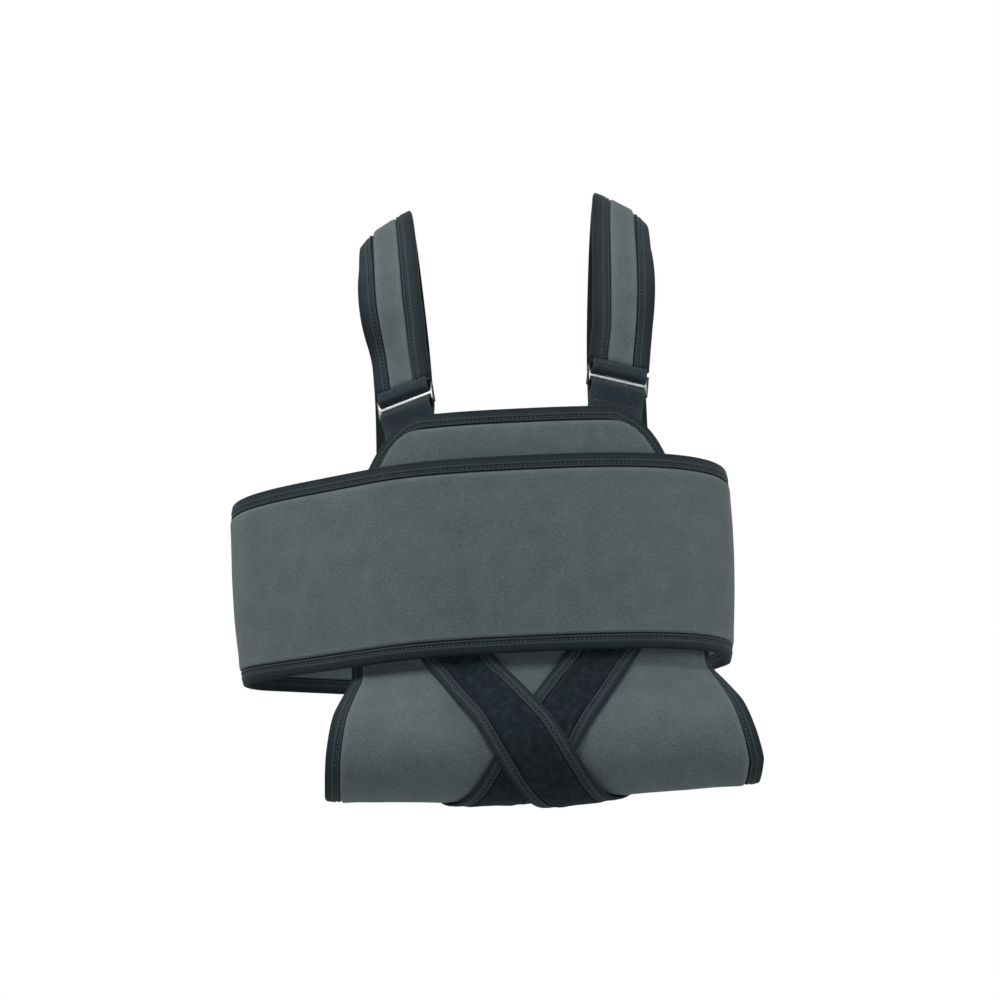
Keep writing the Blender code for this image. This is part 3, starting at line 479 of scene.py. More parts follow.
class Strap:
    """A shoulder strap's middle line, by distance up from its buckle's middle bar."""

    def __init__(self, name, side):
        self.name = name
        self.side = side
        self.set_buckle_frame()
        self.set_rear_end()
        span = TAB_LENGTH / 2
        leans = (COLLAR_LEAN, RIDGE_LEAN, SHOULDER_LEAN, BLADE_LEAN, MIDBACK_LEAN)
        over = (COLLAR_POINT, RIDGE_POINT, SHOULDER_POINT, BLADE_POINT, MIDBACK_POINT)
        knots = [self.buckle + self.v * span * k for k in (-1, 0, 1, 2)]
        widths = [self.u] * 4
        knots += [Vector((side * x, y, z + side * SHOULDER_TILT)) for x, y, z in over]
        widths += [Vector((math.cos(lean), 0.0, -side * math.sin(lean))) for lean in leans]
        knots += [self.rear_end, self.rear_end - UP * span]
        widths += [self.rear_across] * 2
        self.points = smooth_curve(knots)
        self.widths = smooth_curve(widths)
        along = distances(self.points)
        self.along = along - along[CURVE_STEPS]
        self.length = self.along[-1 - CURVE_STEPS]

    def set_buckle_frame(self):
        """Buckle centre, and unit vectors across the strap, up it and out of it."""
        z = BUCKLE_Z + self.side * SHOULDER_TILT
        out = BACK_LAYER - FOAM / 2 - TAB_CLEARANCE - TAB_STEM / 2
        out -= math.tan(CHEST_LEAN) * (z - CHEST_LEAN_FROM)
        s = BODY.find_layer(self.side * BUCKLE_X, out, z)
        self.buckle = BODY.point(s, out, z)
        normal = BODY.normal(s)
        across = UP.cross(normal)
        lean = CHEST_LEAN - BODY_TAPER
        upward = UP * math.cos(lean) - normal * math.sin(lean)
        splay = self.side * STRAP_SPLAY
        self.u = across * math.cos(splay) - upward * math.sin(splay)
        self.v = upward * math.cos(splay) + across * math.sin(splay)
        self.n = self.u.cross(self.v)

    def set_rear_end(self):
        """Where the strap meets its rear tab, just above the back of the belt."""
        s = BODY.find(self.side * REAR_X, front=False)
        self.rear_s = s - BODY.length if s > BACK_MIDDLE else s
        self.rear_z = BELT_HEIGHT / 2 + REAR_RISE
        self.rear_out = FOAM + 2 * LAYER_GAP + HOOK + REAR_TAB / 2
        self.rear_end = belt_point(self.rear_s, self.rear_z, self.rear_out)
        self.rear_normal = BODY.normal(self.rear_s)
        self.rear_across = self.rear_normal.cross(UP)

    @lru_cache(maxsize=None)
    def frame(self, distance):
        """Point, across, up and outward vectors at a distance along the strap."""
        def read(values, d):
            return Vector([np.interp(d, self.along, values[:, k]) for k in range(3)])

        ahead = read(self.points, distance + SURFACE_STEP)
        behind = read(self.points, distance - SURFACE_STEP)
        forward = (ahead - behind).normalized()
        across = read(self.widths, distance)
        across = (across - forward * across.dot(forward)).normalized()
        return read(self.points, distance), across, forward, across.cross(forward)

    def point(self, distance, across, out):
        """A point of the strap, whose outer edge bends down over the shoulder."""
        place, u, _, n = self.frame(distance)
        edge = max(0.0, across * self.side - CUP_FROM) / (STRAP_WIDTH / 2 - CUP_FROM)
        cup = CUP * smooth((place.z - CUP_Z) / CUP_RUN) * edge * edge
        return place + u * across + n * (out - cup)

    def local(self, across, up, out):
        """A point given in the buckle's own frame."""
        return self.buckle + self.u * across + self.v * up + self.n * out


# Materials

class Finish:
    """A procedural material, built node by node."""

    def __init__(self, name):
        self.material = bpy.data.materials.new(name)
        self.material.use_nodes = True
        self.nodes = self.material.node_tree.nodes
        self.links = self.material.node_tree.links
        self.shader = self.nodes["Principled BSDF"]
        self.uv = self.nodes.new("ShaderNodeTexCoord").outputs["UV"]

    def noise(self, scale, detail=2.0, rough=0.55, stretch=(1.0, 1.0)):
        """Noise over the cloth; scale counts features in a metre."""
        mapping = self.nodes.new("ShaderNodeMapping")
        mapping.inputs["Scale"].default_value = (stretch[0], stretch[1], 1.0)
        self.links.new(self.uv, mapping.inputs["Vector"])
        node = self.nodes.new("ShaderNodeTexNoise")
        node.inputs["Scale"].default_value = scale
        node.inputs["Detail"].default_value = detail
        node.inputs["Roughness"].default_value = rough
        self.links.new(mapping.outputs["Vector"], node.inputs["Vector"])
        return node.outputs["Fac"]

    def twill(self, scale):
        """Fine diagonal ribs."""
        node = self.nodes.new("ShaderNodeTexWave")
        node.bands_direction = "DIAGONAL"
        node.inputs["Scale"].default_value = scale
        node.inputs["Distortion"].default_value = 1.2
        node.inputs["Detail"].default_value = 1.0
        self.links.new(self.uv, node.inputs["Vector"])
        return node.outputs["Fac"]

    def cells(self, scale, randomness):
        """Distance from the middle of small cells, such as loops or hooks."""
        node = self.nodes.new("ShaderNodeTexVoronoi")
        node.inputs["Scale"].default_value = scale
        node.inputs["Randomness"].default_value = randomness
        self.links.new(self.uv, node.inputs["Vector"])
        return node.outputs["Distance"]

    def attribute(self, name):
        node = self.nodes.new("ShaderNodeAttribute")
        node.attribute_name = name
        return node.outputs["Fac"]

    def math(self, operation, a, b):
        node = self.nodes.new("ShaderNodeMath")
        node.operation = operation
        for socket, value in zip(node.inputs, (a, b)):
            if isinstance(value, float):
                socket.default_value = value
            else:
                self.links.new(value, socket)
        return node.outputs["Value"]

    def spread(self, value, low, high):
        """A value between 0 and 1 mapped to a range."""
        node = self.nodes.new("ShaderNodeMapRange")
        node.inputs["To Min"].default_value = low
        node.inputs["To Max"].default_value = high
        self.links.new(value, node.inputs["Value"])
        return node.outputs["Result"]

    def ramp(self, value, stops):
        node = self.nodes.new("ShaderNodeValToRGB")
        points = node.color_ramp.elements
        while len(points) < len(stops):
            points.new(0.5)
        for point, (at, colour) in zip(points, stops):
            point.position = at
            point.color = (*colour, 1.0)
        self.links.new(value, node.inputs["Fac"])
        return node.outputs["Color"]

    def mix(self, share, a, b):
        """Colour a, with a share of colour b."""
        node = self.nodes.new("ShaderNodeMix")
        node.data_type = "RGBA"
        self.links.new(share, node.inputs["Factor"])
        colours = [s for s in node.inputs if s.type == "RGBA"]
        for socket, value in zip(colours, (a, b)):
            if isinstance(value, tuple):
                socket.default_value = (*value, 1.0)
            else:
                self.links.new(value, socket)
        return [s for s in node.outputs if s.type == "RGBA"][0]

    def bump(self, heights):
        """Bumps from rows of (height, distance, strength), one on the next."""
        normal = None
        for height, distance, strength in heights:
            node = self.nodes.new("ShaderNodeBump")
            node.inputs["Distance"].default_value = distance
            node.inputs["Strength"].default_value = strength
            self.links.new(height, node.inputs["Height"])
            if normal:
                self.links.new(normal, node.inputs["Normal"])
            normal = node.outputs["Normal"]
        self.links.new(normal, self.shader.inputs["Normal"])

    def colour(self, value):
        self.links.new(value, self.shader.inputs["Base Color"])

    def roughness(self, value, low, high):
        self.links.new(self.spread(value, low, high), self.shader.inputs["Roughness"])

    def plain(self, **values):
        """Values that are the same all over, set on the shader."""
        for name, value in values.items():
            self.shader.inputs[name.replace("_", " ")].default_value = value


def grey_foam_fabric():
    """Brushed grey knit bonded to foam: mottled, with a short nap."""
    finish = Finish("grey_knit")
    mottle = finish.noise(48.0, 5.0, 0.62)
    nap = finish.noise(330.0, 3.0, 0.6, (1.0, 1.8))
    fibre = finish.noise(900.0, 3.0, 0.7)
    tone = finish.math("ADD", finish.math("MULTIPLY", mottle, 0.24), finish.math("MULTIPLY", nap, 0.34))
    tone = finish.math("ADD", tone, finish.math("MULTIPLY", fibre, 0.42))
    base = finish.ramp(tone, ((0.34, (0.052, 0.069, 0.073)), (0.50, (0.082, 0.104, 0.109)),
                              (0.66, (0.122, 0.150, 0.155))))
    wear_and_painted_light = finish.attribute("wear_and_painted_light")
    # Painted highlight: where the value is positive, the colour pales along the foam's roll beside each tape.
    rub_and_painted_highlight = finish.mix(finish.math("MULTIPLY", wear_and_painted_light, 0.22), base, (0.165, 0.195, 0.200))
    # Painted shade: where the value is negative, the colour goes near black in the seam beside each tape.
    finish.colour(finish.mix(finish.math("MULTIPLY", wear_and_painted_light, -0.85), rub_and_painted_highlight, (0.006, 0.010, 0.012)))
    finish.roughness(nap, 0.86, 1.0)
    finish.bump(((nap, 0.0006, 0.35), (fibre, 0.0005, 0.45)))
    finish.plain(Specular_IOR_Level=0.12, Sheen_Weight=0.05, Sheen_Roughness=0.6)
    return finish.material


def black_binding_tape():
    """Woven edge tape, paler on its ridges and face, partly from rubbing and partly as a painted highlight, and
    keeping its dark base colour in the sewn groove, at its lips and round its fold, where that contrast stands in for
    shade.
    """
    finish = Finish("binding_tape")
    ribs = finish.twill(430.0)
    cloud = finish.noise(60.0, 4.0, 0.6)
    fibre = finish.noise(1300.0, 2.0, 0.6)
    tone = finish.math("ADD", finish.math("MULTIPLY", ribs, 0.30), finish.math("MULTIPLY", cloud, 0.45))
    tone = finish.math("ADD", tone, finish.math("MULTIPLY", fibre, 0.25))
    base = finish.ramp(tone, ((0.28, (0.003, 0.006, 0.008)), (0.50, (0.008, 0.013, 0.016)),
                              (0.72, (0.016, 0.024, 0.028))))
    # Paler ridges and face: partly rubbing, partly painted highlight; the dark groove, lips and fold stand in for
    # shade.
    rub_and_painted_highlight = finish.math("MULTIPLY", finish.attribute("wear_and_painted_light"), finish.spread(tone, 0.35, 1.0))
    finish.colour(finish.mix(rub_and_painted_highlight, base, (0.062, 0.085, 0.096)))
    finish.roughness(cloud, 0.75, 0.95)
    finish.bump(((ribs, 0.0002, 0.25), (fibre, 0.0002, 0.30)))
    finish.plain(Specular_IOR_Level=0.14, Sheen_Weight=0.02, Sheen_Roughness=0.5)
    return finish.material


def black_webbing():
    """Woven polyester webbing with ribs along its length."""
    finish = Finish("webbing")
    ribs = finish.noise(700.0, 1.0, 0.5, (0.25, 2.2))
    picks = finish.noise(900.0, 1.0, 0.5, (2.2, 0.35))
    cloud = finish.noise(50.0, 4.0, 0.6)
    tone = finish.math("ADD", finish.math("MULTIPLY", ribs, 0.35), finish.math("MULTIPLY", picks, 0.25))
    tone = finish.math("ADD", tone, finish.math("MULTIPLY", cloud, 0.40))
    base = finish.ramp(tone, ((0.30, (0.009, 0.015, 0.018)), (0.50, (0.018, 0.027, 0.033)),
                              (0.70, (0.034, 0.047, 0.054))))
    finish.colour(finish.mix(finish.attribute("wear_and_painted_light"), base, (0.055, 0.072, 0.080)))
    finish.roughness(cloud, 0.70, 0.90)
    finish.bump(((ribs, 0.0004, 0.5), (picks, 0.0003, 0.5)))
    finish.plain(Specular_IOR_Level=0.15, Sheen_Weight=0.02)
    return finish.material


def black_loop_pile():
    """Napped loop pile: a dark matted surface with paler tufts."""
    finish = Finish("loop_pile")
    tufts = finish.cells(620.0, 1.0)
    mat = finish.noise(160.0, 5.0, 0.65)
    patches = finish.noise(45.0, 3.0, 0.6)
    fuzz = finish.noise(1500.0, 3.0, 0.7)
    tone = finish.math("ADD", finish.math("MULTIPLY", mat, 0.5), finish.math("MULTIPLY", fuzz, 0.35))
    tone = finish.math("ADD", tone, finish.math("MULTIPLY", patches, 0.15))
    base = finish.ramp(tone, ((0.36, (0.003, 0.006, 0.008)), (0.52, (0.009, 0.015, 0.019)),
                              (0.68, (0.026, 0.038, 0.044))))
    finish.colour(finish.mix(finish.attribute("wear_and_painted_light"), base, (0.045, 0.056, 0.060)))
    finish.roughness(mat, 0.88, 1.0)
    finish.bump(((mat, 0.0014, 0.45), (tufts, 0.0007, 0.5), (fuzz, 0.0005, 0.5)))
    finish.plain(Specular_IOR_Level=0.06, Sheen_Weight=0.02, Sheen_Roughness=0.7)
    return finish.material


def black_hook_tape():
    """Rows of small stiff hooks on a woven ground."""
    finish = Finish("hook_tape")
    hooks = finish.cells(560.0, 0.18)
    ground = finish.noise(800.0, 2.0, 0.5)
    cloud = finish.noise(40.0, 3.0, 0.6)
    base = finish.ramp(hooks, ((0.05, (0.040, 0.046, 0.050)), (0.35, (0.016, 0.020, 0.023)),
                               (0.70, (0.007, 0.009, 0.011))))
    finish.colour(finish.mix(finish.spread(cloud, 0.0, 0.35), base, (0.024, 0.029, 0.032)))
    finish.roughness(ground, 0.45, 0.75)
    finish.bump(((finish.math("SUBTRACT", 1.0, hooks), 0.0010, 0.7), (ground, 0.0003, 0.3)))
    finish.plain(Specular_IOR_Level=0.40)
    return finish.material


def dark_thread():
    """Spun thread with a slight twist."""
    finish = Finish("thread")
    twist = finish.noise(2400.0, 1.0, 0.5, (1.0, 0.4))
    finish.colour(finish.ramp(twist, ((0.35, (0.030, 0.040, 0.045)), (0.65, (0.090, 0.108, 0.114)))))
    finish.roughness(twist, 0.6, 0.85)
    finish.bump(((twist, 0.0002, 0.5),))
    finish.plain(Specular_IOR_Level=0.3, Sheen_Weight=0.05)
    return finish.material


def plated_metal():
    """Nickel plate, clouded and scratched: bright on the middle bar and dark on the rest of the frame."""
    finish = Finish("nickel_plate")
    cloud = finish.noise(90.0, 4.0, 0.6)
    scratch = finish.noise(500.0, 2.0, 0.6, (0.15, 3.0))
    bright = finish.ramp(cloud, ((0.35, (0.34, 0.34, 0.34)), (0.65, (0.48, 0.48, 0.48))))
    finish.colour(finish.mix(finish.attribute("wear_and_painted_light"), (0.022, 0.028, 0.032), bright))
    finish.roughness(finish.math("MULTIPLY", cloud, scratch), 0.20, 0.55)
    finish.bump(((scratch, 0.0001, 0.15),))
    finish.plain(Metallic=1.0)
    return finish.material


GREY = grey_foam_fabric()
BINDING = black_binding_tape()
STRAPPING = black_webbing()
PILE = black_loop_pile()
HOOKS = black_hook_tape()
STITCHING = dark_thread()
PLATE = plated_metal()


# Mesh tools

def add_mesh(name, points, faces, uvs, wear_and_painted_light, material):
    """A smooth closed mesh with cloth coordinates in metres and, at each point, a value for rubbing and painted
    light.
    """
    shape = bmesh.new()
    verts = [shape.verts.new(p) for p in points]
    for corners in faces:
        shape.faces.new([verts[k] for k in corners])
    shape.verts.index_update()
    bmesh.ops.recalc_face_normals(shape, faces=shape.faces)
    if shape.calc_volume(signed=True) < 0.0:
        bmesh.ops.reverse_faces(shape, faces=shape.faces)
    layer = shape.loops.layers.uv.new("cloth")
    for face in shape.faces:
        face.smooth = True
        for loop in face.loops:
            loop[layer].uv = uvs[loop.vert.index]
    mesh = bpy.data.meshes.new(name)
    shape.to_mesh(mesh)
    shape.free()
    rub_and_painted_highlight = mesh.attributes.new("wear_and_painted_light", "FLOAT", "POINT")
    rub_and_painted_highlight.data.foreach_set("value", [float(w) for w in wear_and_painted_light])
    mesh.materials.append(material)
    item = bpy.data.objects.new(name, mesh)
    bpy.context.collection.objects.link(item)
    return item


def plump(item, grid, free, pressure):
    """Swell padding under pressure; only points of its outer face where free(u, v) holds can move."""
    places = [spot for row in grid for spot in row]
    loose = np.array([free(u, v) for u, v in places] + [False] * len(places))
    held = item.vertex_groups.new(name="held")
    held.add([int(k) for k in np.flatnonzero(~loose)], 1.0, "REPLACE")
    cloth = item.modifiers.new("plump", "CLOTH")
    cloth.settings.use_pressure = True
    cloth.settings.uniform_pressure_force = pressure
    cloth.settings.vertex_group_mass = held.name
    cloth.settings.effector_weights.gravity = 0.0
    cloth.point_cache.frame_end = CLOTH_FRAMES
    for number in range(1, CLOTH_FRAMES + 1):
        bpy.context.scene.frame_set(number)
    solved = item.evaluated_get(bpy.context.evaluated_depsgraph_get()).data
    before = np.empty(len(loose) * 3)
    after = np.empty(len(loose) * 3)
    item.data.vertices.foreach_get("co", before)
    solved.vertices.foreach_get("co", after)
    move = (after - before).reshape(-1, 3)
    far = np.linalg.norm(move, axis=1)
    eased = PLUMP_CAP * np.tanh(far / PLUMP_CAP)
    move *= np.where(far > 0.0, eased / np.maximum(far, np.finfo(float).tiny), 0.0)[:, None]
    item.modifiers.remove(cloth)
    item.vertex_groups.remove(held)
    item.data.vertices.foreach_set("co", before + move.ravel())
    item.data.update()
    bpy.context.scene.frame_set(1)


def tape_lip(width):
    """How far an edge tape reaches in from the edge that it covers."""
    return width - TAPE_GAP - TAPE


def roll_rows(lip):
    """Offsets from an edge; a taped one has rows where its padding rolls."""
    return [0.0] if lip is None else [0.0, lip / 2] + [lip + r for r in ROLL_ROWS]


def graded(length, step, lip_start=None, lip_end=None):
    """Offsets along a length, close together where padding rolls beside a taped edge."""
    start = roll_rows(lip_start)
    end = [length - r for r in reversed(roll_rows(lip_end))]
    inside = np.linspace(start[-1], end[0], max(1, round((end[0] - start[-1]) / step)) + 1)
    return [float(x) for x in start + list(inside[1:-1]) + end]


def padding(from_edge, thickness, width=TAPE_WIDTH):
    """Half thickness at the back and the front, and a value for painted light: a painted highlight on the roll,
    painted shade at the seam.
    """
    thin = thickness / 2 - TAPE_GAP - TAPE
    past = from_edge - tape_lip(width)
    rise = smooth(past / ROLL_RUN)
    back = thin + (thickness / 2 - thin) * rise
    roll = math.exp(-((past - SWELL_AT) / SWELL_RUN) ** 2) if past > 0.0 else 0.0
    # Painted highlight: paler colour on the roll just past the tape's lip.
    rub_and_painted_highlight = rise * math.exp(-((past - ROLL_RUN) / ROLL_RUN) ** 2)
    # Painted shade: a strong negative value right at the tape's lip, for the seam.
    return back, back + SWELL * roll * rise, rub_and_painted_highlight - 2.0 * math.exp(-(past / SEAM_RUN) ** 2)


def dent(u, v, seed, size=DENT_SIZE, depth=DENT):
    """Soft unevenness of foam-backed cloth."""
    place = Vector((u / size, v / size, seed))
    return depth * (noise.noise(place) + 0.45 * noise.noise(place * 2.3))


def sheet_mesh(name, grid, place, layer, material):
    """Closed sheet over a grid of (u, v); layer gives (back, front, rubbing and painted light) at a point of it."""
    rows = len(grid)
    columns = len(grid[0])
    layers = [[layer(u, v) for u, v in row] for row in grid]
    outer = [place(u, v, h[1]) for row, hs in zip(grid, layers) for (u, v), h in zip(row, hs)]
    inner = [place(u, v, -h[0]) for row, hs in zip(grid, layers) for (u, v), h in zip(row, hs)]
    count = rows * columns
    faces = []
    for r in range(rows - 1):
        for c in range(columns - 1):
            k = r * columns + c
            corners = (k, k + 1, k + columns + 1, k + columns)
            faces.append(corners)
            faces.append(tuple(count + x for x in reversed(corners)))
    border = [c for c in range(columns - 1)]
    border += [r * columns + columns - 1 for r in range(rows - 1)]
    border += [(rows - 1) * columns + c for c in range(columns - 1, 0, -1)]
    border += [r * columns for r in range(rows - 1, 0, -1)]
    for a, b in zip(border, border[1:] + border[:1]):
        faces.append((b, a, count + a, count + b))
    uvs = sheet_uvs(outer, rows, columns)
    wear_and_painted_light = [h[2] for hs in layers for h in hs]
    return add_mesh(name, outer + inner, faces, uvs * 2, wear_and_painted_light * 2, material)


def sheet_uvs(points, rows, columns):
    """Cloth coordinates in metres, measured along the middle row and the middle column."""
    spots = np.array([tuple(p) for p in points]).reshape(rows, columns, 3)
    across = distances(spots[rows // 2])
    along = distances(spots[:, columns // 2])
    return [(float(along[r]), float(across[c])) for r in range(rows) for c in range(columns)]


def rectangle(us, vs):
    return [[(u, v) for v in vs] for u in us]


def tape_section(thickness, width):
    """Outside of a folded tape as (inward, height, rubbing and painted light), from its front lip to its back lip."""
    lip = tape_lip(width)
    high = thickness / 2
    groove = lip - GROOVE_IN
    bottom = high - GROOVE_DEPTH
    ridge = groove - GROOVE_IN * 0.75
    # The third value pales the ridges and the face, partly for rubbing and partly as a painted highlight; zero in the
    # groove, at the lips and round the fold leaves them dark, standing in for shade.
    front = [(lip, high - TAPE * 0.8, 0.0), (lip - TAPE * 0.15, high - TAPE * 0.25, 0.4),
             (lip - TAPE * 0.8, high, 0.75), (lip - GROOVE_IN * 0.55, high - GROOVE_DEPTH * 0.2, 0.15),
             (groove + GROOVE_DEPTH * 0.8, bottom + GROOVE_DEPTH * 0.2, 0.0), (groove, bottom, 0.0),
             (groove - GROOVE_DEPTH * 0.8, bottom + GROOVE_DEPTH * 0.2, 0.0),
             ((groove + ridge) / 2, high - GROOVE_DEPTH * 0.1, 0.20), (ridge, high + GROOVE_DEPTH * 0.15, 0.75),
             (ridge - GROOVE_IN * 0.3, high, 0.20), (ridge * 0.5, high * 0.92, 0.15)]
    fold = TAPE_GAP + TAPE
    for angle in np.linspace(0.0, math.pi / 2, FOLD_STEPS):
        front.append((-fold * math.sin(angle), high * math.cos(angle) ** 0.8 * 0.78, 0.0))
    return front + [(a, -h, w) for a, h, w in reversed(front[:-1])]


def sweep_tape(name, stations, thickness, width, material):
    """Tape folded over an edge; a station is (edge point, inward, normal)."""
    section = tape_section(thickness, width)
    thin = (thickness / 2 - TAPE) / (thickness / 2)
    inside = [(max(a, -TAPE_GAP), h * thin) for a, h, _ in section]
    ring = [(a, h) for a, h, _ in section] + inside[::-1]
    wear_and_painted_light = [w for _, _, w in section] + [0.0] * len(inside)
    half = len(section)
    size = len(ring)
    points = [o + i * a + n * h for o, i, n in stations for a, h in ring]
    faces = []
    for r in range(len(stations) - 1):
        for k in range(size):
            m = (k + 1) % size
            faces.append((r * size + k, r * size + m, (r + 1) * size + m, (r + 1) * size + k))
    for start, flip in ((0, 1), ((len(stations) - 1) * size, -1)):
        for k in range(half - 1):
            corners = [start + k, start + size - 1 - k, start + size - 2 - k, start + k + 1]
            faces.append(tuple(corners[::flip]))
    along = distances(np.array([tuple(o) for o, _, _ in stations]))
    across = distances(np.array([(a, h) for a, h, _ in section]))
    across = list(across) + list(across[::-1])
    uvs = [(float(s), float(v)) for s in along for v in across]
    return add_mesh(name, points, faces, uvs, wear_and_painted_light * len(stations), material)


def stitches(name, rows):
    """Lock stitches along rows of (point, normal) pairs."""
    points = []
    faces = []
    uvs = []
    ring = [(math.cos(a), math.sin(a)) for a in np.linspace(0.0, 2 * math.pi, STITCH_SIDES, endpoint=False)]
    for row in rows:
        spots = np.array([tuple(p) for p, _ in row])
        normals = np.array([tuple(n) for _, n in row])
        along = distances(spots)

        def read(values, at):
            return Vector([float(np.interp(at, along, values[:, k])) for k in range(3)])

        for at in np.arange(STITCH_PITCH, along[-1] - STITCH_PITCH / 2, STITCH_PITCH):
            start, middle, end = (read(spots, at + STITCH_LENGTH * k) for k in (-0.5, 0.0, 0.5))
            normal = read(normals, at).normalized()
            side = (end - start).cross(normal).normalized()
            base = len(points)
            points += [start - normal * THREAD * 0.6, end - normal * THREAD * 0.6]
            for centre in (start.lerp(middle, 0.4), end.lerp(middle, 0.4)):
                points += [centre + (side * c + normal * s) * THREAD for c, s in ring]
            uvs += [(at, 0.0), (at + STITCH_LENGTH, 0.0)] + [(at, k * THREAD) for k in range(2 * STITCH_SIDES)]
            for k in range(STITCH_SIDES):
                a = base + 2 + k
                b = base + 2 + (k + 1) % STITCH_SIDES
                faces.append((base, b, a))
                faces.append((a, b, b + STITCH_SIDES, a + STITCH_SIDES))
                faces.append((base + 1, a + STITCH_SIDES, b + STITCH_SIDES))
    return add_mesh(name, points, faces, uvs, [0.0] * len(points), STITCHING)


def taped_edge(name, stations, thickness, width=TAPE_WIDTH):
    """Edge tape with the stitches that hold it, on both faces."""
    tape = sweep_tape(f"{name}_tape", stations, thickness, width, BINDING)
    inward = tape_lip(width) - GROOVE_IN
    height = thickness / 2 - GROOVE_DEPTH
    rows = [[(o + i * inward + n * height * side, n * side) for o, i, n in stations] for side in (1, -1)]
    thread = stitches(f"{name}_thread", rows)
    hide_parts(name)
    return [tape, thread]


def ride(items, body):
    for item in items:
        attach(item, body)


def blend(items, start, end):
    for item in items:
        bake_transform(item)


# Belt

def belt_foam(name, stations, end, seed, loose):
    """Padded length of the belt; loose is the part of it that has nothing lying on it."""
    heights = [h - BELT_EDGE for h in graded(2 * BELT_EDGE, PANEL_STEP, tape_lip(TAPE_WIDTH), tape_lip(TAPE_WIDTH))]

    def layer(s, z):
        edge = min(BELT_EDGE - abs(z), abs(s - end))
        back, front, painted_light_mark = padding(edge, FOAM)
        return back, front + dent(s, z, seed) * smooth((edge - TAPE_WIDTH) / TAPE_WIDTH), painted_light_mark

    def place(s, z, out):
        return belt_point(s, z, FOAM / 2 + out)

    def free(s, z):
        edge = BELT_EDGE - abs(z) - tape_lip(TAPE_WIDTH)
        return loose[0] < s < loose[1] and edge > PLUMP_RIM

    grid = rectangle(stations, heights)
    item = sheet_mesh(name, grid, place, layer, GREY)
    item.data.set_sharp_from_angle(angle=math.radians(60))
    if loose:
        plump(item, grid, free, BELT_PRESSURE)
    return item


def belt_long_edge(name, stations, top):
    edge = BELT_EDGE if top else -BELT_EDGE
    inside = edge - math.copysign(TAPE_WIDTH, edge)
    places = []
    for s in stations:
        rim = belt_point(s, edge, FOAM / 2)
        inward = belt_point(s, inside, FOAM / 2) - rim
        places.append((rim, inward.normalized(), BODY.normal(s)))
    return taped_edge(name, places, FOAM)


def belt_end_edge(name, end, inward_sign):
    normal = BODY.normal(end)
    inward = normal.cross(UP) * -inward_sign
    reach = BELT_HEIGHT / 2 - TAPE_WIDTH - GAP
    heights = np.linspace(-reach, reach, round(2 * reach / TAPE_STEP) + 1)
    places = [(belt_point(end, float(z), FOAM / 2), inward, normal) for z in heights]
    return taped_edge(name, places, FOAM)


def belt_patch(name, low_out, s_middle, material):
    """Rectangle of fastening tape sewn on the belt."""
    def place(s, z, out):
        return belt_point(s, z, low_out + HOOK / 2 + out)

    us = [s_middle - PATCH_WIDTH / 2 + d for d in webbing_rows(PATCH_WIDTH, HOOK)]
    vs = [d - PATCH_HEIGHT / 2 for d in webbing_rows(PATCH_HEIGHT, HOOK)]
    item = sheet_mesh(f"{name}_cloth", rectangle(us, vs), place, strip_layer(us, vs, HOOK), material)
    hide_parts(name)
    return item


def build_belt():
    lip = tape_lip(TAPE_WIDTH)
    join = HINGE_AT + LAP_BEFORE_HINGE
    main = [join + d for d in graded(INNER_END - join, PANEL_STEP, None, lip)]
    loose = (join + PLUMP_END, BODY.find(REAR_X + STRAP_WIDTH, front=False))
    body = belt_foam("belt_panel_cloth", main, INNER_END, 1.0, loose)
    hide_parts("belt_panel")
    pieces = [body]
    pieces += belt_long_edge("belt_top_binding", main, True)
    pieces += belt_long_edge("belt_bottom_binding", main, False)
    pieces += belt_end_edge("belt_inner_end_binding", INNER_END, -1)
    pieces.append(belt_patch("belt_loop_patch", FOAM + LAYER_GAP, BACK_MIDDLE, PILE))
    ride(pieces, "sling")

    flap = [FLAP_END + d for d in graded(join - FLAP_END, TAPE_STEP, lip, None)]
    lap = belt_foam("belt_flap_cloth", flap, FLAP_END, 1.0, None)
    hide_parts("belt_flap")
    pieces = [lap]
    pieces += belt_long_edge("belt_flap_top_binding", flap, True)
    pieces += belt_long_edge("belt_flap_bottom_binding", flap, False)
    hinge = belt_point(HINGE_AT, 0.0, FOAM)
    bend = Vector((LAP_BEND, 0.0, 0.0))
    blend(pieces, hinge - bend, hinge + bend)
    pieces = belt_end_edge("belt_flap_end_binding", FLAP_END, 1)
    pieces.append(belt_patch("belt_hook_patch", -LAYER_GAP - HOOK, BACK_MIDDLE - BODY.length, HOOKS))
    ride(pieces, "belt_flap")


# Pouch

def pouch_downs(p):
    """Distances down the front panel: tucked under the belt, sloping, then round the forearm."""
    slope, run = pouch_profile(p)[2:]
    arc = POUCH_RADIUS * (slope + math.pi) - GAP
    tucked = np.linspace(-POUCH_TUCK, -POUCH_EASE, 10)
    eased = np.linspace(-POUCH_EASE, POUCH_EASE, 7)[1:]
    sloping = np.linspace(POUCH_EASE, run, 9)[1:]
    rounding = run + np.linspace(0.0, arc, 34)[1:]
    return [float(d) for d in np.concatenate([tucked, eased, sloping, rounding])]


def beside_straps(p, down):
    """Distance from a point of the pouch's front to the nearer crossed strap; negative under it."""
    dx = p * pouch_side(p, POUCH_LOW_LEFT, POUCH_LOW_RIGHT) - CROSS_X
    dd = down - CROSS_DOWN
    across = [dx * math.cos(CROSS_ANGLE) - turn * dd * math.sin(CROSS_ANGLE) for turn in (1, -1)]
    return min(abs(a) for a in across) - CROSS_WIDTH / 2


def cross_swell(p, down):
    """How the foam swells up beside the crossed straps that are drawn over it."""
    beside = beside_straps(p, down)
    return 2 * SWELL * smooth(beside / ROLL_RUN) * math.exp(-beside / SWELL_RUN) * smooth(down / POUCH_EASE)


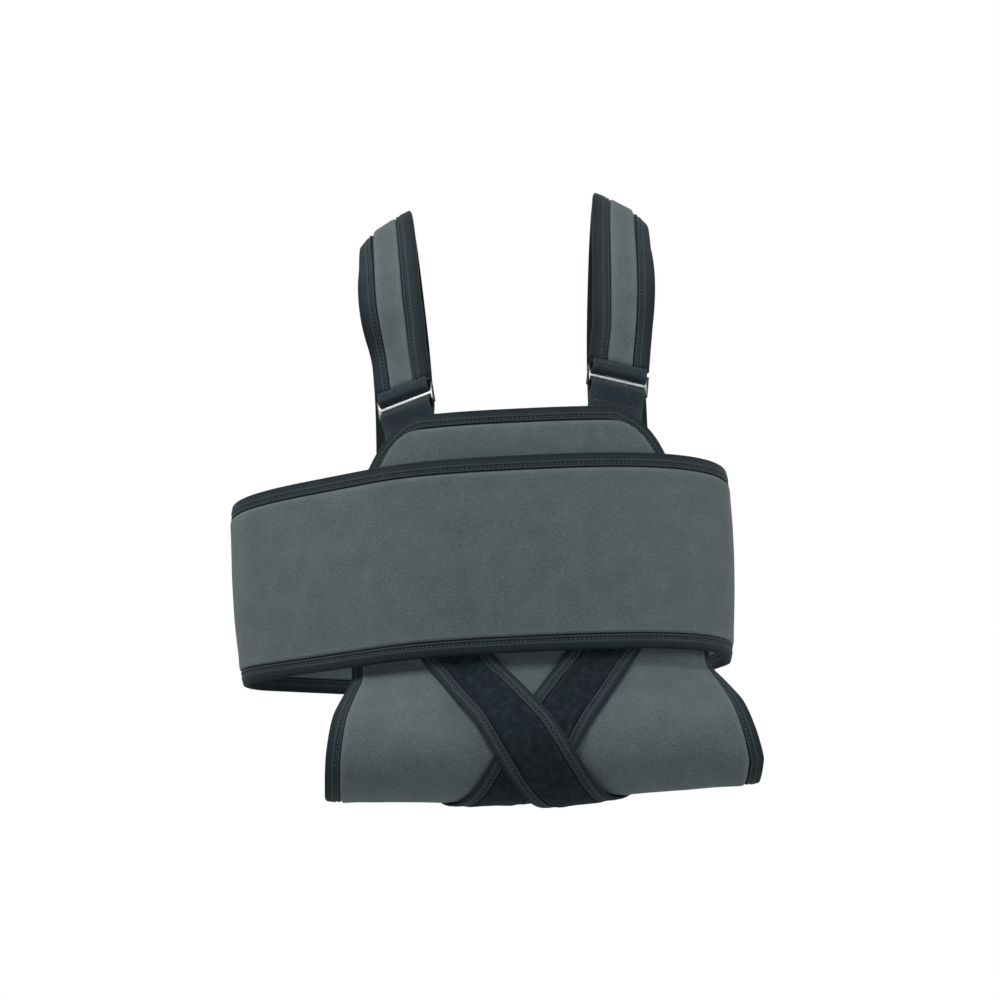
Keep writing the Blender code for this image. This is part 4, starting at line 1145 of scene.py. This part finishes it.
def build_pouch_front():
    lip = tape_lip(TAPE_WIDTH)
    length = POUCH_LOW_LEFT + POUCH_LOW_RIGHT
    xs = [x - POUCH_LOW_LEFT for x in graded(length, PANEL_STEP, lip, lip)]
    shares = [x / pouch_side(x, POUCH_LOW_LEFT, POUCH_LOW_RIGHT) for x in xs]
    grid = [[(p, down) for down in pouch_downs(p)] for p in shares]

    def layer(p, down):
        edge = (1.0 - abs(p)) * pouch_side(p, POUCH_LOW_LEFT, POUCH_LOW_RIGHT)
        back, front, painted_light_mark = padding(edge, FOAM)
        free = smooth((edge - TAPE_WIDTH) / TAPE_WIDTH) * smooth(down / POUCH_EASE)
        swell = cross_swell(p, down)
        uneven = dent(p * length, down, 3.0) * free
        return back, front + swell + uneven * (1.0 if swell > 0.0 else 0.4), painted_light_mark

    def free(p, down):
        edge = (1.0 - abs(p)) * pouch_side(p, POUCH_LOW_LEFT, POUCH_LOW_RIGHT) - lip
        return edge > PLUMP_RIM and down > POUCH_EASE and beside_straps(p, down) > PLUMP_RIM

    panel = sheet_mesh("pouch_front_cloth", grid, front_point, layer, GREY)
    plump(panel, grid, free, PAD_PRESSURE)
    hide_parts("pouch_front_panel")
    pieces = [panel]
    for name, p in (("pouch_left_binding", -1.0), ("pouch_right_binding", 1.0)):
        inside = p - p * TAPE_WIDTH / pouch_side(p, POUCH_LOW_LEFT, POUCH_LOW_RIGHT)
        places = []
        for down, inside_down in zip(pouch_downs(p), pouch_downs(inside)):
            edge = front_middle(p, down)
            inward = front_middle(inside, inside_down) - edge
            places.append((edge, inward.normalized(), front_normal(p, down)))
        pieces += taped_edge(name, places, FOAM)
    ride(pieces, "sling")


def back_columns():
    """Columns of the back panel's grid as (from one side, which side, share of the middle)."""
    roll = graded(CHEST_CORNER, PANEL_STEP, tape_lip(TAPE_WIDTH), None)
    turns = np.linspace(0.0, math.pi / 2, CORNER_STEPS + 1)[1:-1]
    corner = sorted(roll + [CHEST_CORNER * (1.0 - math.cos(t)) for t in turns])
    middle = round(2 * CHEST_WIDTH_AT_TOP / PANEL_STEP)
    columns = [(e, False, None) for e in corner]
    columns += [(CHEST_CORNER, None, k / middle) for k in range(1, middle)]
    return columns + [(e, True, None) for e in reversed(corner)]


def back_place(column, z):
    """Distance round the body of one column of the back panel's grid at a height."""
    from_side, right, share = column
    left_end = -back_width(z, False)
    right_end = back_width(z, True)
    if share is not None:
        return left_end + CHEST_CORNER + (right_end - left_end - 2 * CHEST_CORNER) * share
    return right_end - from_side if right else left_end + from_side


def back_rows(column):
    """Heights of one column of the back panel's grid, from the seam to the top edge."""
    start = back_place(column, POUCH_START)
    p = start / back_width(POUCH_START, start > 0)
    seam = POUCH_CENTRE_Z + p * p * POUCH_END_RISE + GAP
    top = chest_top(column[0])
    behind_arm = np.linspace(seam, POUCH_START, 13)[:-1]
    behind_belt = np.linspace(POUCH_START, CHEST_LEAN_FROM, 24)[:-1]
    roll = [top - e for e in reversed(roll_rows(tape_lip(TAPE_WIDTH)))]
    above = np.linspace(CHEST_LEAN_FROM, roll[0], 7)[:-1]
    return [float(z) for z in list(behind_arm) + list(behind_belt) + list(above) + roll]


def back_rim():
    """Points (s, z) round the taped sides and top of the back panel."""
    sides = []
    for right in (False, True):
        sign = 1.0 if right else -1.0
        column = (0.0, right, None)
        low = back_rows(column)[0]
        top = CHEST_TOP - CHEST_CORNER
        heights = np.linspace(low, top, round((top - low) / TAPE_STEP) + 1)
        rim = [(sign * back_width(z, right), float(z)) for z in heights]
        for t in np.linspace(0.0, math.pi / 2, CORNER_STEPS + 1)[1:]:
            z = top + CHEST_CORNER * math.sin(t)
            rim.append((sign * (back_width(z, right) - CHEST_CORNER * (1.0 - math.cos(t))), z))
        sides.append(rim)
    left, right = sides
    across = np.linspace(left[-1][0], right[-1][0], round(2 * CHEST_WIDTH_AT_TOP / TAPE_STEP) + 1)[1:-1]
    return left + [(float(s), CHEST_TOP) for s in across] + right[::-1]


def build_pouch_back():
    grid = [[(back_place(column, z), z) for z in back_rows(column)] for column in back_columns()]

    def layer(s, z):
        edge = from_rim(s, z)
        back, front, painted_light_mark = padding(edge, FOAM)
        free = smooth((edge - TAPE_WIDTH) / TAPE_WIDTH) * smooth((z - CHEST_LEAN_FROM) / TAPE_WIDTH)
        return back, front + dent(s, z, 4.0) * free, painted_light_mark

    def free(s, z):
        return z > BELT_HEIGHT / 2 and from_rim(s, z) - tape_lip(TAPE_WIDTH) > PLUMP_RIM

    panel = sheet_mesh("pouch_back_cloth", grid, back_point, layer, GREY)
    plump(panel, grid, free, PAD_PRESSURE)
    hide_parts("pouch_back_panel")
    rim = back_rim()
    places = []
    for k, (s, z) in enumerate(rim):
        before = rim[max(k - 1, 0)]
        after = rim[min(k + 1, len(rim) - 1)]
        across = np.array((after[1] - before[1], before[0] - after[0]))
        step = across / np.linalg.norm(across) * TAPE_WIDTH
        edge = back_point(s, z, 0.0)
        inward = back_point(s + step[0], z + step[1], 0.0) - edge
        normal = back_point(s, z, SURFACE_STEP) - edge
        places.append((edge, inward.normalized(), normal.normalized()))
    ride([panel] + taped_edge("pouch_back_binding", places, FOAM), "sling")


def build_cross_strap(name, turn, over):
    """One strap of the crossed pair; turn is 1 if it runs down to the right."""
    start = -(CROSS_DOWN + CROSS_TUCK) / math.cos(CROSS_ANGLE)
    end = (CROSS_END - CROSS_DOWN) / math.cos(CROSS_ANGLE)
    runs = [float(x) for x in np.linspace(start, end, round((end - start) / TAPE_STEP) + 1)]
    half = CROSS_WIDTH / 2 - TAPE_GAP - TAPE
    lip = tape_lip(CROSS_TAPE_WIDTH)
    across = [a - half for a in graded(2 * half, TAPE_STEP, lip, lip)]

    def place(along, a, out):
        return cross_point(turn, over, along, a, out)

    def layer(along, a):
        back, front, _ = padding(half - abs(a), CROSS_THICKNESS, CROSS_TAPE_WIDTH)
        return back, front + dent(along, a, 5.0 + turn, 0.009, 0.00025), 0.0

    strap = sheet_mesh(f"{name}_pile", rectangle(runs, across), place, layer, PILE)
    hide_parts(name)
    pieces = [strap]
    for side, sign in (("left", -1), ("right", 1)):
        stations = []
        for along in runs:
            edge = place(along, sign * half, 0.0)
            inside = place(along, sign * (half - CROSS_TAPE_WIDTH), 0.0)
            normal = place(along, sign * half, SURFACE_STEP) - edge
            stations.append((edge, (inside - edge).normalized(), normal.normalized()))
        pieces += taped_edge(f"{name}_{side}_binding", stations, CROSS_THICKNESS, CROSS_TAPE_WIDTH)
    ride(pieces, "sling")


# Webbing and hook strips

def webbing_rows(width, thickness, step=TAPE_STEP):
    """Offsets across a strip, close together at its rounded edges."""
    edge = [0.0, thickness * 0.08, thickness * 0.25, thickness * 0.5]
    inside = np.linspace(edge[-1], width - edge[-1], max(2, round(width / step)) + 1)
    return [float(x) for x in edge + list(inside[1:-1]) + [width - e for e in reversed(edge)]]


def strip_layer(us, vs, thickness):
    """Thickness of a flat strip with rounded edges, rubbed a little along them."""
    def layer(u, v):
        edge = min(u - us[0], us[-1] - u, v - vs[0], vs[-1] - v)
        share = min(max(edge / (thickness / 2), 0.0), 1.0)
        half = thickness / 2 * max(math.sqrt(1.0 - (1.0 - share) ** 2), 0.12)
        return half, half, 0.35 * math.exp(-edge / thickness)
    return layer


def strip(name, node, place, us, width, thickness, material):
    """Flat strip of webbing or hook tape; place(u, across, out) carries it."""
    vs = [d - width / 2 for d in webbing_rows(width, thickness)]
    item = sheet_mesh(name, rectangle(us, vs), place, strip_layer(us, vs, thickness), material)
    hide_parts(node)
    return item


def span(start, end, thickness):
    return [start + d for d in webbing_rows(end - start, thickness, SURFACE_STEP * 2)]


# Shoulder straps

def pad_thickness(strap, d):
    """Share of the pad's thickness that is left where its rear end is sewn into the tab."""
    from_end = strap.length - REAR_GAP - d
    return 0.34 + 0.66 * smooth((from_end - REAR_TAB_SEWN) / REAR_TAB_SEWN)


def build_strap_pad(strap):
    half = STRAP_WIDTH / 2 - TAPE_GAP - TAPE
    lip = tape_lip(STRAP_TAPE_WIDTH)
    end = strap.length - REAR_GAP
    runs = [PAD_START + d for d in graded(end - PAD_START, TAPE_STEP)]
    across = [a - half for a in graded(2 * half, TAPE_STEP, lip, lip)]

    def layer(d, a):
        thin = pad_thickness(strap, d)
        back, front, painted_light_mark = padding(half - abs(a), STRAP_THICKNESS, STRAP_TAPE_WIDTH)
        return back * thin, (front + dent(d, a, 7.0 + strap.side)) * thin, painted_light_mark

    def free(d, a):
        inside = PAD_START + PLUMP_END < d < end - PLUMP_END
        return inside and half - abs(a) - lip > PLUMP_RIM

    grid = rectangle(runs, across)
    pad = sheet_mesh(f"{strap.name}_shoulder_cloth", grid, strap.point, layer, GREY)
    plump(pad, grid, free, PAD_PRESSURE)
    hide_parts(f"{strap.name}_shoulder_pad")
    pieces = [pad]
    for edge, sign in (("inner", -strap.side), ("outer", strap.side)):
        stations = []
        for d in runs:
            rim = strap.point(d, sign * half, 0.0)
            inward = (strap.point(d, sign * (half - STRAP_TAPE_WIDTH), 0.0) - rim).normalized()
            normal = strap.frame(d)[2].cross(inward) * sign
            stations.append((rim, inward, normal * pad_thickness(strap, d)))
        pieces += taped_edge(f"{strap.name}_shoulder_{edge}_binding", stations, STRAP_THICKNESS,
                             STRAP_TAPE_WIDTH)
    ride(pieces, "sling")


def build_end_loop(strap):
    """Webbing sewn to the pad's lower end and turned up behind it round the buckle's upper bar."""
    radius = STRAP_THICKNESS / 2 + GAP + WEBBING / 2
    front = LOOP_FRONT - BUCKLE_PITCH
    turn = math.pi * radius
    total = front + turn + LOOP_REAR - BUCKLE_PITCH

    def place(t, a, out):
        if t < front:
            return strap.local(a, LOOP_FRONT - t, radius + out)
        if t < front + turn:
            angle = (t - front) / radius
            reach = radius + out
            return strap.local(a, BUCKLE_PITCH - reach * math.sin(angle), reach * math.cos(angle))
        return strap.local(a, BUCKLE_PITCH + t - front - turn, -radius - out)

    us = webbing_rows(total, WEBBING, SURFACE_STEP / 2)
    loop = strip(f"{strap.name}_end_loop_webbing", f"{strap.name}_strap_end_loop", place, us, LOOP_WIDTH,
                 WEBBING, STRAPPING)
    seam = front * 0.42
    reach = LOOP_WIDTH / 2 - THREAD * 6
    ends = np.linspace(-reach, reach, round(LOOP_WIDTH / TAPE_STEP))
    row = [(place(seam, float(a), WEBBING / 2), strap.n) for a in ends]
    ride([loop, stitches(f"{strap.name}_end_loop_thread", [row])], "sling")


def build_tail(strap):
    """Free end of that webbing behind the pad, with its hook patch."""
    end = TAIL_START + TAIL_LENGTH
    hook_out = -(STRAP_THICKNESS / 2 + TAIL_GAP + HOOK / 2)
    tail_out = hook_out - HOOK / 2 - LAYER_GAP - WEBBING / 2
    root_out = -(STRAP_THICKNESS / 2 + GAP + WEBBING + GAP + WEBBING / 2)

    def place(d, a, out):
        middle = root_out + (tail_out - root_out) * smooth((d - LOOP_REAR) / TAPE_STEP)
        return strap.point(d, a, middle + out)

    def place_hook(d, a, out):
        return strap.point(d, a, hook_out + out)

    tail = strip(f"{strap.name}_tail_webbing", f"{strap.name}_strap_tail", place, span(TAIL_ROOT, end, WEBBING),
                 TAIL_WIDTH, WEBBING, STRAPPING)
    hooked = span(TAIL_START + 2 * HOOK_MARGIN, end - HOOK_MARGIN, HOOK)
    patch = strip(f"{strap.name}_tail_hooks", f"{strap.name}_strap_tail_hook", place_hook, hooked,
                  TAIL_WIDTH - 2 * HOOK_MARGIN, HOOK, HOOKS)
    body = f"{strap.name}_strap_tail"
    blend([tail], strap.point(TAIL_START - TAPE_STEP, 0.0, tail_out),
          strap.point(TAIL_START + TAPE_STEP, 0.0, tail_out))
    ride([patch], body)


def build_buckle(strap):
    """Flat buckle with three bars and two slots, with rounded plated edges."""
    node = f"{strap.name}_buckle"
    shape = bmesh.new()
    shape.from_mesh(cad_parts[node].data)
    bmesh.ops.remove_doubles(shape, verts=shape.verts, dist=THREAD / 10)
    bmesh.ops.dissolve_limit(shape, angle_limit=math.radians(2), verts=shape.verts, edges=shape.edges)
    bmesh.ops.bevel(shape, geom=list(shape.edges), offset=BUCKLE_EDGE, segments=2, profile=0.5,
                    affect="EDGES")
    layer = shape.loops.layers.uv.new("cloth")
    for face in shape.faces:
        face.smooth = True
        for loop in face.loops:
            away = loop.vert.co - strap.buckle
            loop[layer].uv = (away.dot(strap.u), away.dot(strap.v))
    mesh = bpy.data.meshes.new(f"{node}_plate")
    shape.to_mesh(mesh)
    shape.free()
    # Marks the middle bar, which stays bright; the plate material darkens the rest of the frame.
    on_bar = [abs((v.co - strap.buckle).dot(strap.v)) < BUCKLE_PITCH / 2 for v in mesh.vertices]
    mesh.attributes.new("wear_and_painted_light", "FLOAT", "POINT").data.foreach_set("value", [float(w) for w in on_bar])
    mesh.materials.append(PLATE)
    item = bpy.data.objects.new(f"{node}_plate", mesh)
    bpy.context.collection.objects.link(item)
    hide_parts(node)
    ride([item], node)


def build_front_tab(strap):
    """Webbing doubled round the buckle's lower bar, its two layers sewn behind the chest panel."""
    eye = TAB_EYE + WEBBING / 2
    layer_out = (TAB_STEM - WEBBING) / 2
    side = [(-TAB_LENGTH, layer_out), (-TAB_LENGTH * 0.62, layer_out), (-TAB_LENGTH * 0.42, layer_out)]
    angles = np.linspace(math.radians(62), math.pi, 6)
    side += [(-BUCKLE_PITCH - eye * math.cos(a), eye * math.sin(a)) for a in angles]
    knots = side + [(up, -out) for up, out in reversed(side[:-1])]
    path = smooth_curve(knots)
    along = distances(path)

    def read(t):
        return np.array([np.interp(t, along, path[:, k]) for k in range(2)])

    def place(t, a, out):
        up, middle = read(t)
        run = read(t + SURFACE_STEP / 4) - read(t - SURFACE_STEP / 4)
        run = run / np.linalg.norm(run)
        return strap.local(a, up - run[1] * out, middle + run[0] * out)

    us = webbing_rows(along[-1], WEBBING, SURFACE_STEP)
    tab = strip(f"{strap.name}_front_tab_webbing", f"{strap.name}_front_tab", place, us, LOOP_WIDTH, WEBBING,
                STRAPPING)
    reach = LOOP_WIDTH / 2 - THREAD * 6
    ends = np.linspace(-reach, reach, round(LOOP_WIDTH / TAPE_STEP))
    rows = [[(strap.local(float(a), up, layer_out + WEBBING / 2), strap.n) for a in ends]
            for up in (-TAB_LENGTH * 0.36, -TAB_LENGTH * 0.43)]
    ride([tab, stitches(f"{strap.name}_front_tab_thread", rows)], "sling")


def build_rear_tab(strap):
    """Tab sewn on the pad's rear end that hangs down and fastens on the back of the belt."""
    low = strap.rear_z - REAR_TAB_LENGTH
    high = strap.rear_z + REAR_TAB_SEWN

    def place(z, a, out):
        over = REAR_TAB_STEP * smooth((z - strap.rear_z + TAPE_STEP * 2) / (TAPE_STEP * 2))
        curved = belt_point(strap.rear_s - a, min(z, strap.rear_z), strap.rear_out + over + out)
        place_up, u, _, n = strap.frame(strap.length + strap.rear_z - z)
        flat = place_up + u * a - n * (over + out) * math.copysign(1.0, -n.dot(strap.rear_normal))
        return curved.lerp(flat, smooth((z - strap.rear_z + TAPE_STEP) / TAPE_STEP))

    def place_hook(z, a, out):
        return belt_point(strap.rear_s - a, z, strap.rear_out - REAR_TAB / 2 - LAYER_GAP - HOOK / 2 + out)

    tab = strip(f"{strap.name}_rear_tab_webbing", f"{strap.name}_rear_tab", place, span(low, high, REAR_TAB),
                STRAP_WIDTH, REAR_TAB, STRAPPING)
    reach = STRAP_WIDTH / 2 - THREAD * 8
    rows = []
    for z in (strap.rear_z + REAR_TAB_SEWN * 0.45, strap.rear_z + REAR_TAB_SEWN * 0.80):
        ends = np.linspace(-reach, reach, round(STRAP_WIDTH / TAPE_STEP))
        rows.append([(place(z, float(a), REAR_TAB / 2), strap.rear_normal) for a in ends])
    hook_high = BELT_HEIGHT / 2 - TAPE_WIDTH - HOOK_MARGIN
    hooked = span(low + HOOK_MARGIN, hook_high, HOOK)
    patch = strip(f"{strap.name}_rear_hooks", f"{strap.name}_rear_hook", place_hook, hooked,
                  STRAP_WIDTH - 2 * HOOK_MARGIN, HOOK, HOOKS)
    body = f"{strap.name}_rear_tab"
    middle = belt_point(strap.rear_s, strap.rear_z, strap.rear_out)
    blend([tab], middle + UP * TAPE_STEP, middle - UP * TAPE_STEP)
    ride([stitches(f"{strap.name}_rear_tab_thread", rows)], "sling")
    ride([patch], body)


# Camera, floor and light

def build_camera():
    forward = Vector((0.0, math.cos(CAMERA_PITCH), math.sin(CAMERA_PITCH)))
    upward = Vector((0.0, -math.sin(CAMERA_PITCH), math.cos(CAMERA_PITCH)))
    across = Vector((1.0, 0.0, 0.0))
    right = across * math.cos(CAMERA_ROLL) - upward * math.sin(CAMERA_ROLL)
    top = across * math.sin(CAMERA_ROLL) + upward * math.cos(CAMERA_ROLL)
    data = bpy.data.cameras.new("photo_camera")
    data.lens = CAMERA_LENS
    data.sensor_width = CAMERA_SENSOR
    camera = bpy.data.objects.new("photo_camera", data)
    camera.matrix_world = Matrix.Translation(CAMERA_AT) @ Matrix((right, top, -forward)).transposed().to_4x4()
    bpy.context.collection.objects.link(camera)
    bpy.context.scene.camera = camera


def build_floor():
    """Large pale floor below the object."""
    mesh = bpy.data.meshes.new("studio_floor")
    reach = FLOOR_REACH
    corners = [(-reach, -reach, FLOOR_Z), (reach, -reach, FLOOR_Z), (reach, reach, FLOOR_Z), (-reach, reach, FLOOR_Z)]
    mesh.from_pydata(corners, [], [(0, 1, 2, 3)])
    mesh.uv_layers.new(name="cloth")
    finish = Finish("pale_floor")
    cloud = finish.noise(2.0, 3.0)
    finish.colour(finish.ramp(cloud, ((0.3, (0.58, 0.58, 0.58)), (0.7, (0.62, 0.62, 0.62)))))
    finish.roughness(cloud, 0.85, 0.95)
    mesh.materials.append(finish.material)
    floor = bpy.data.objects.new("studio_floor", mesh)
    bpy.context.collection.objects.link(floor)


def area_light(name, at, towards, size, power):
    data = bpy.data.lights.new(name, "AREA")
    data.size = size
    data.energy = power
    light = bpy.data.objects.new(name, data)
    light.location = at
    light.rotation_euler = (Vector(towards) - Vector(at)).to_track_quat("-Z", "Y").to_euler()
    bpy.context.collection.objects.link(light)


def build_lights():
    """Soft light from high in front, with one from each side and a weaker one from behind."""
    middle = (0.0, 0.0, 0.05)
    area_light("front", (-0.9, -1.9, 2.5), middle, 1.2, 70.0)
    area_light("left", (-2.1, -0.3, 1.7), middle, 1.2, 34.0)
    area_light("right", (2.3, -0.8, 0.8), middle, 1.6, 36.0)
    area_light("back", (0.4, 2.3, 1.2), middle, 1.6, 26.0)
    world = bpy.data.worlds.new("studio")
    bpy.context.scene.world = world
    world.use_nodes = True
    nodes = world.node_tree.nodes
    links = world.node_tree.links
    ambient = nodes["Background"]
    ambient.inputs["Color"].default_value = (0.96, 0.98, 1.0, 1.0)
    ambient.inputs["Strength"].default_value = 0.14
    white = nodes.new("ShaderNodeBackground")
    white.inputs["Color"].default_value = (1.0, 1.0, 1.0, 1.0)
    path = nodes.new("ShaderNodeLightPath")
    seen = path.outputs["Is Camera Ray"]
    for ray in ("Is Glossy Ray", "Is Transmission Ray"):
        either = nodes.new("ShaderNodeMath")
        either.operation = "MAXIMUM"
        links.new(seen, either.inputs[0])
        links.new(path.outputs[ray], either.inputs[1])
        seen = either.outputs["Value"]
    choose = nodes.new("ShaderNodeMixShader")
    links.new(seen, choose.inputs["Fac"])
    links.new(ambient.outputs["Background"], choose.inputs[1])
    links.new(white.outputs["Background"], choose.inputs[2])
    links.new(choose.outputs["Shader"], nodes["World Output"].inputs["Surface"])
    bpy.context.scene.view_settings.view_transform = "Standard"


build_camera()
build_floor()
build_lights()
build_belt()
build_pouch_front()
build_pouch_back()
build_cross_strap("cross_strap_over", 1, True)
build_cross_strap("cross_strap_under", -1, False)
for side_name, side_sign in (("left", -1), ("right", 1)):
    shoulder = Strap(side_name, side_sign)
    build_strap_pad(shoulder)
    build_end_loop(shoulder)
    build_tail(shoulder)
    build_buckle(shoulder)
    build_front_tab(shoulder)
    build_rear_tab(shoulder)
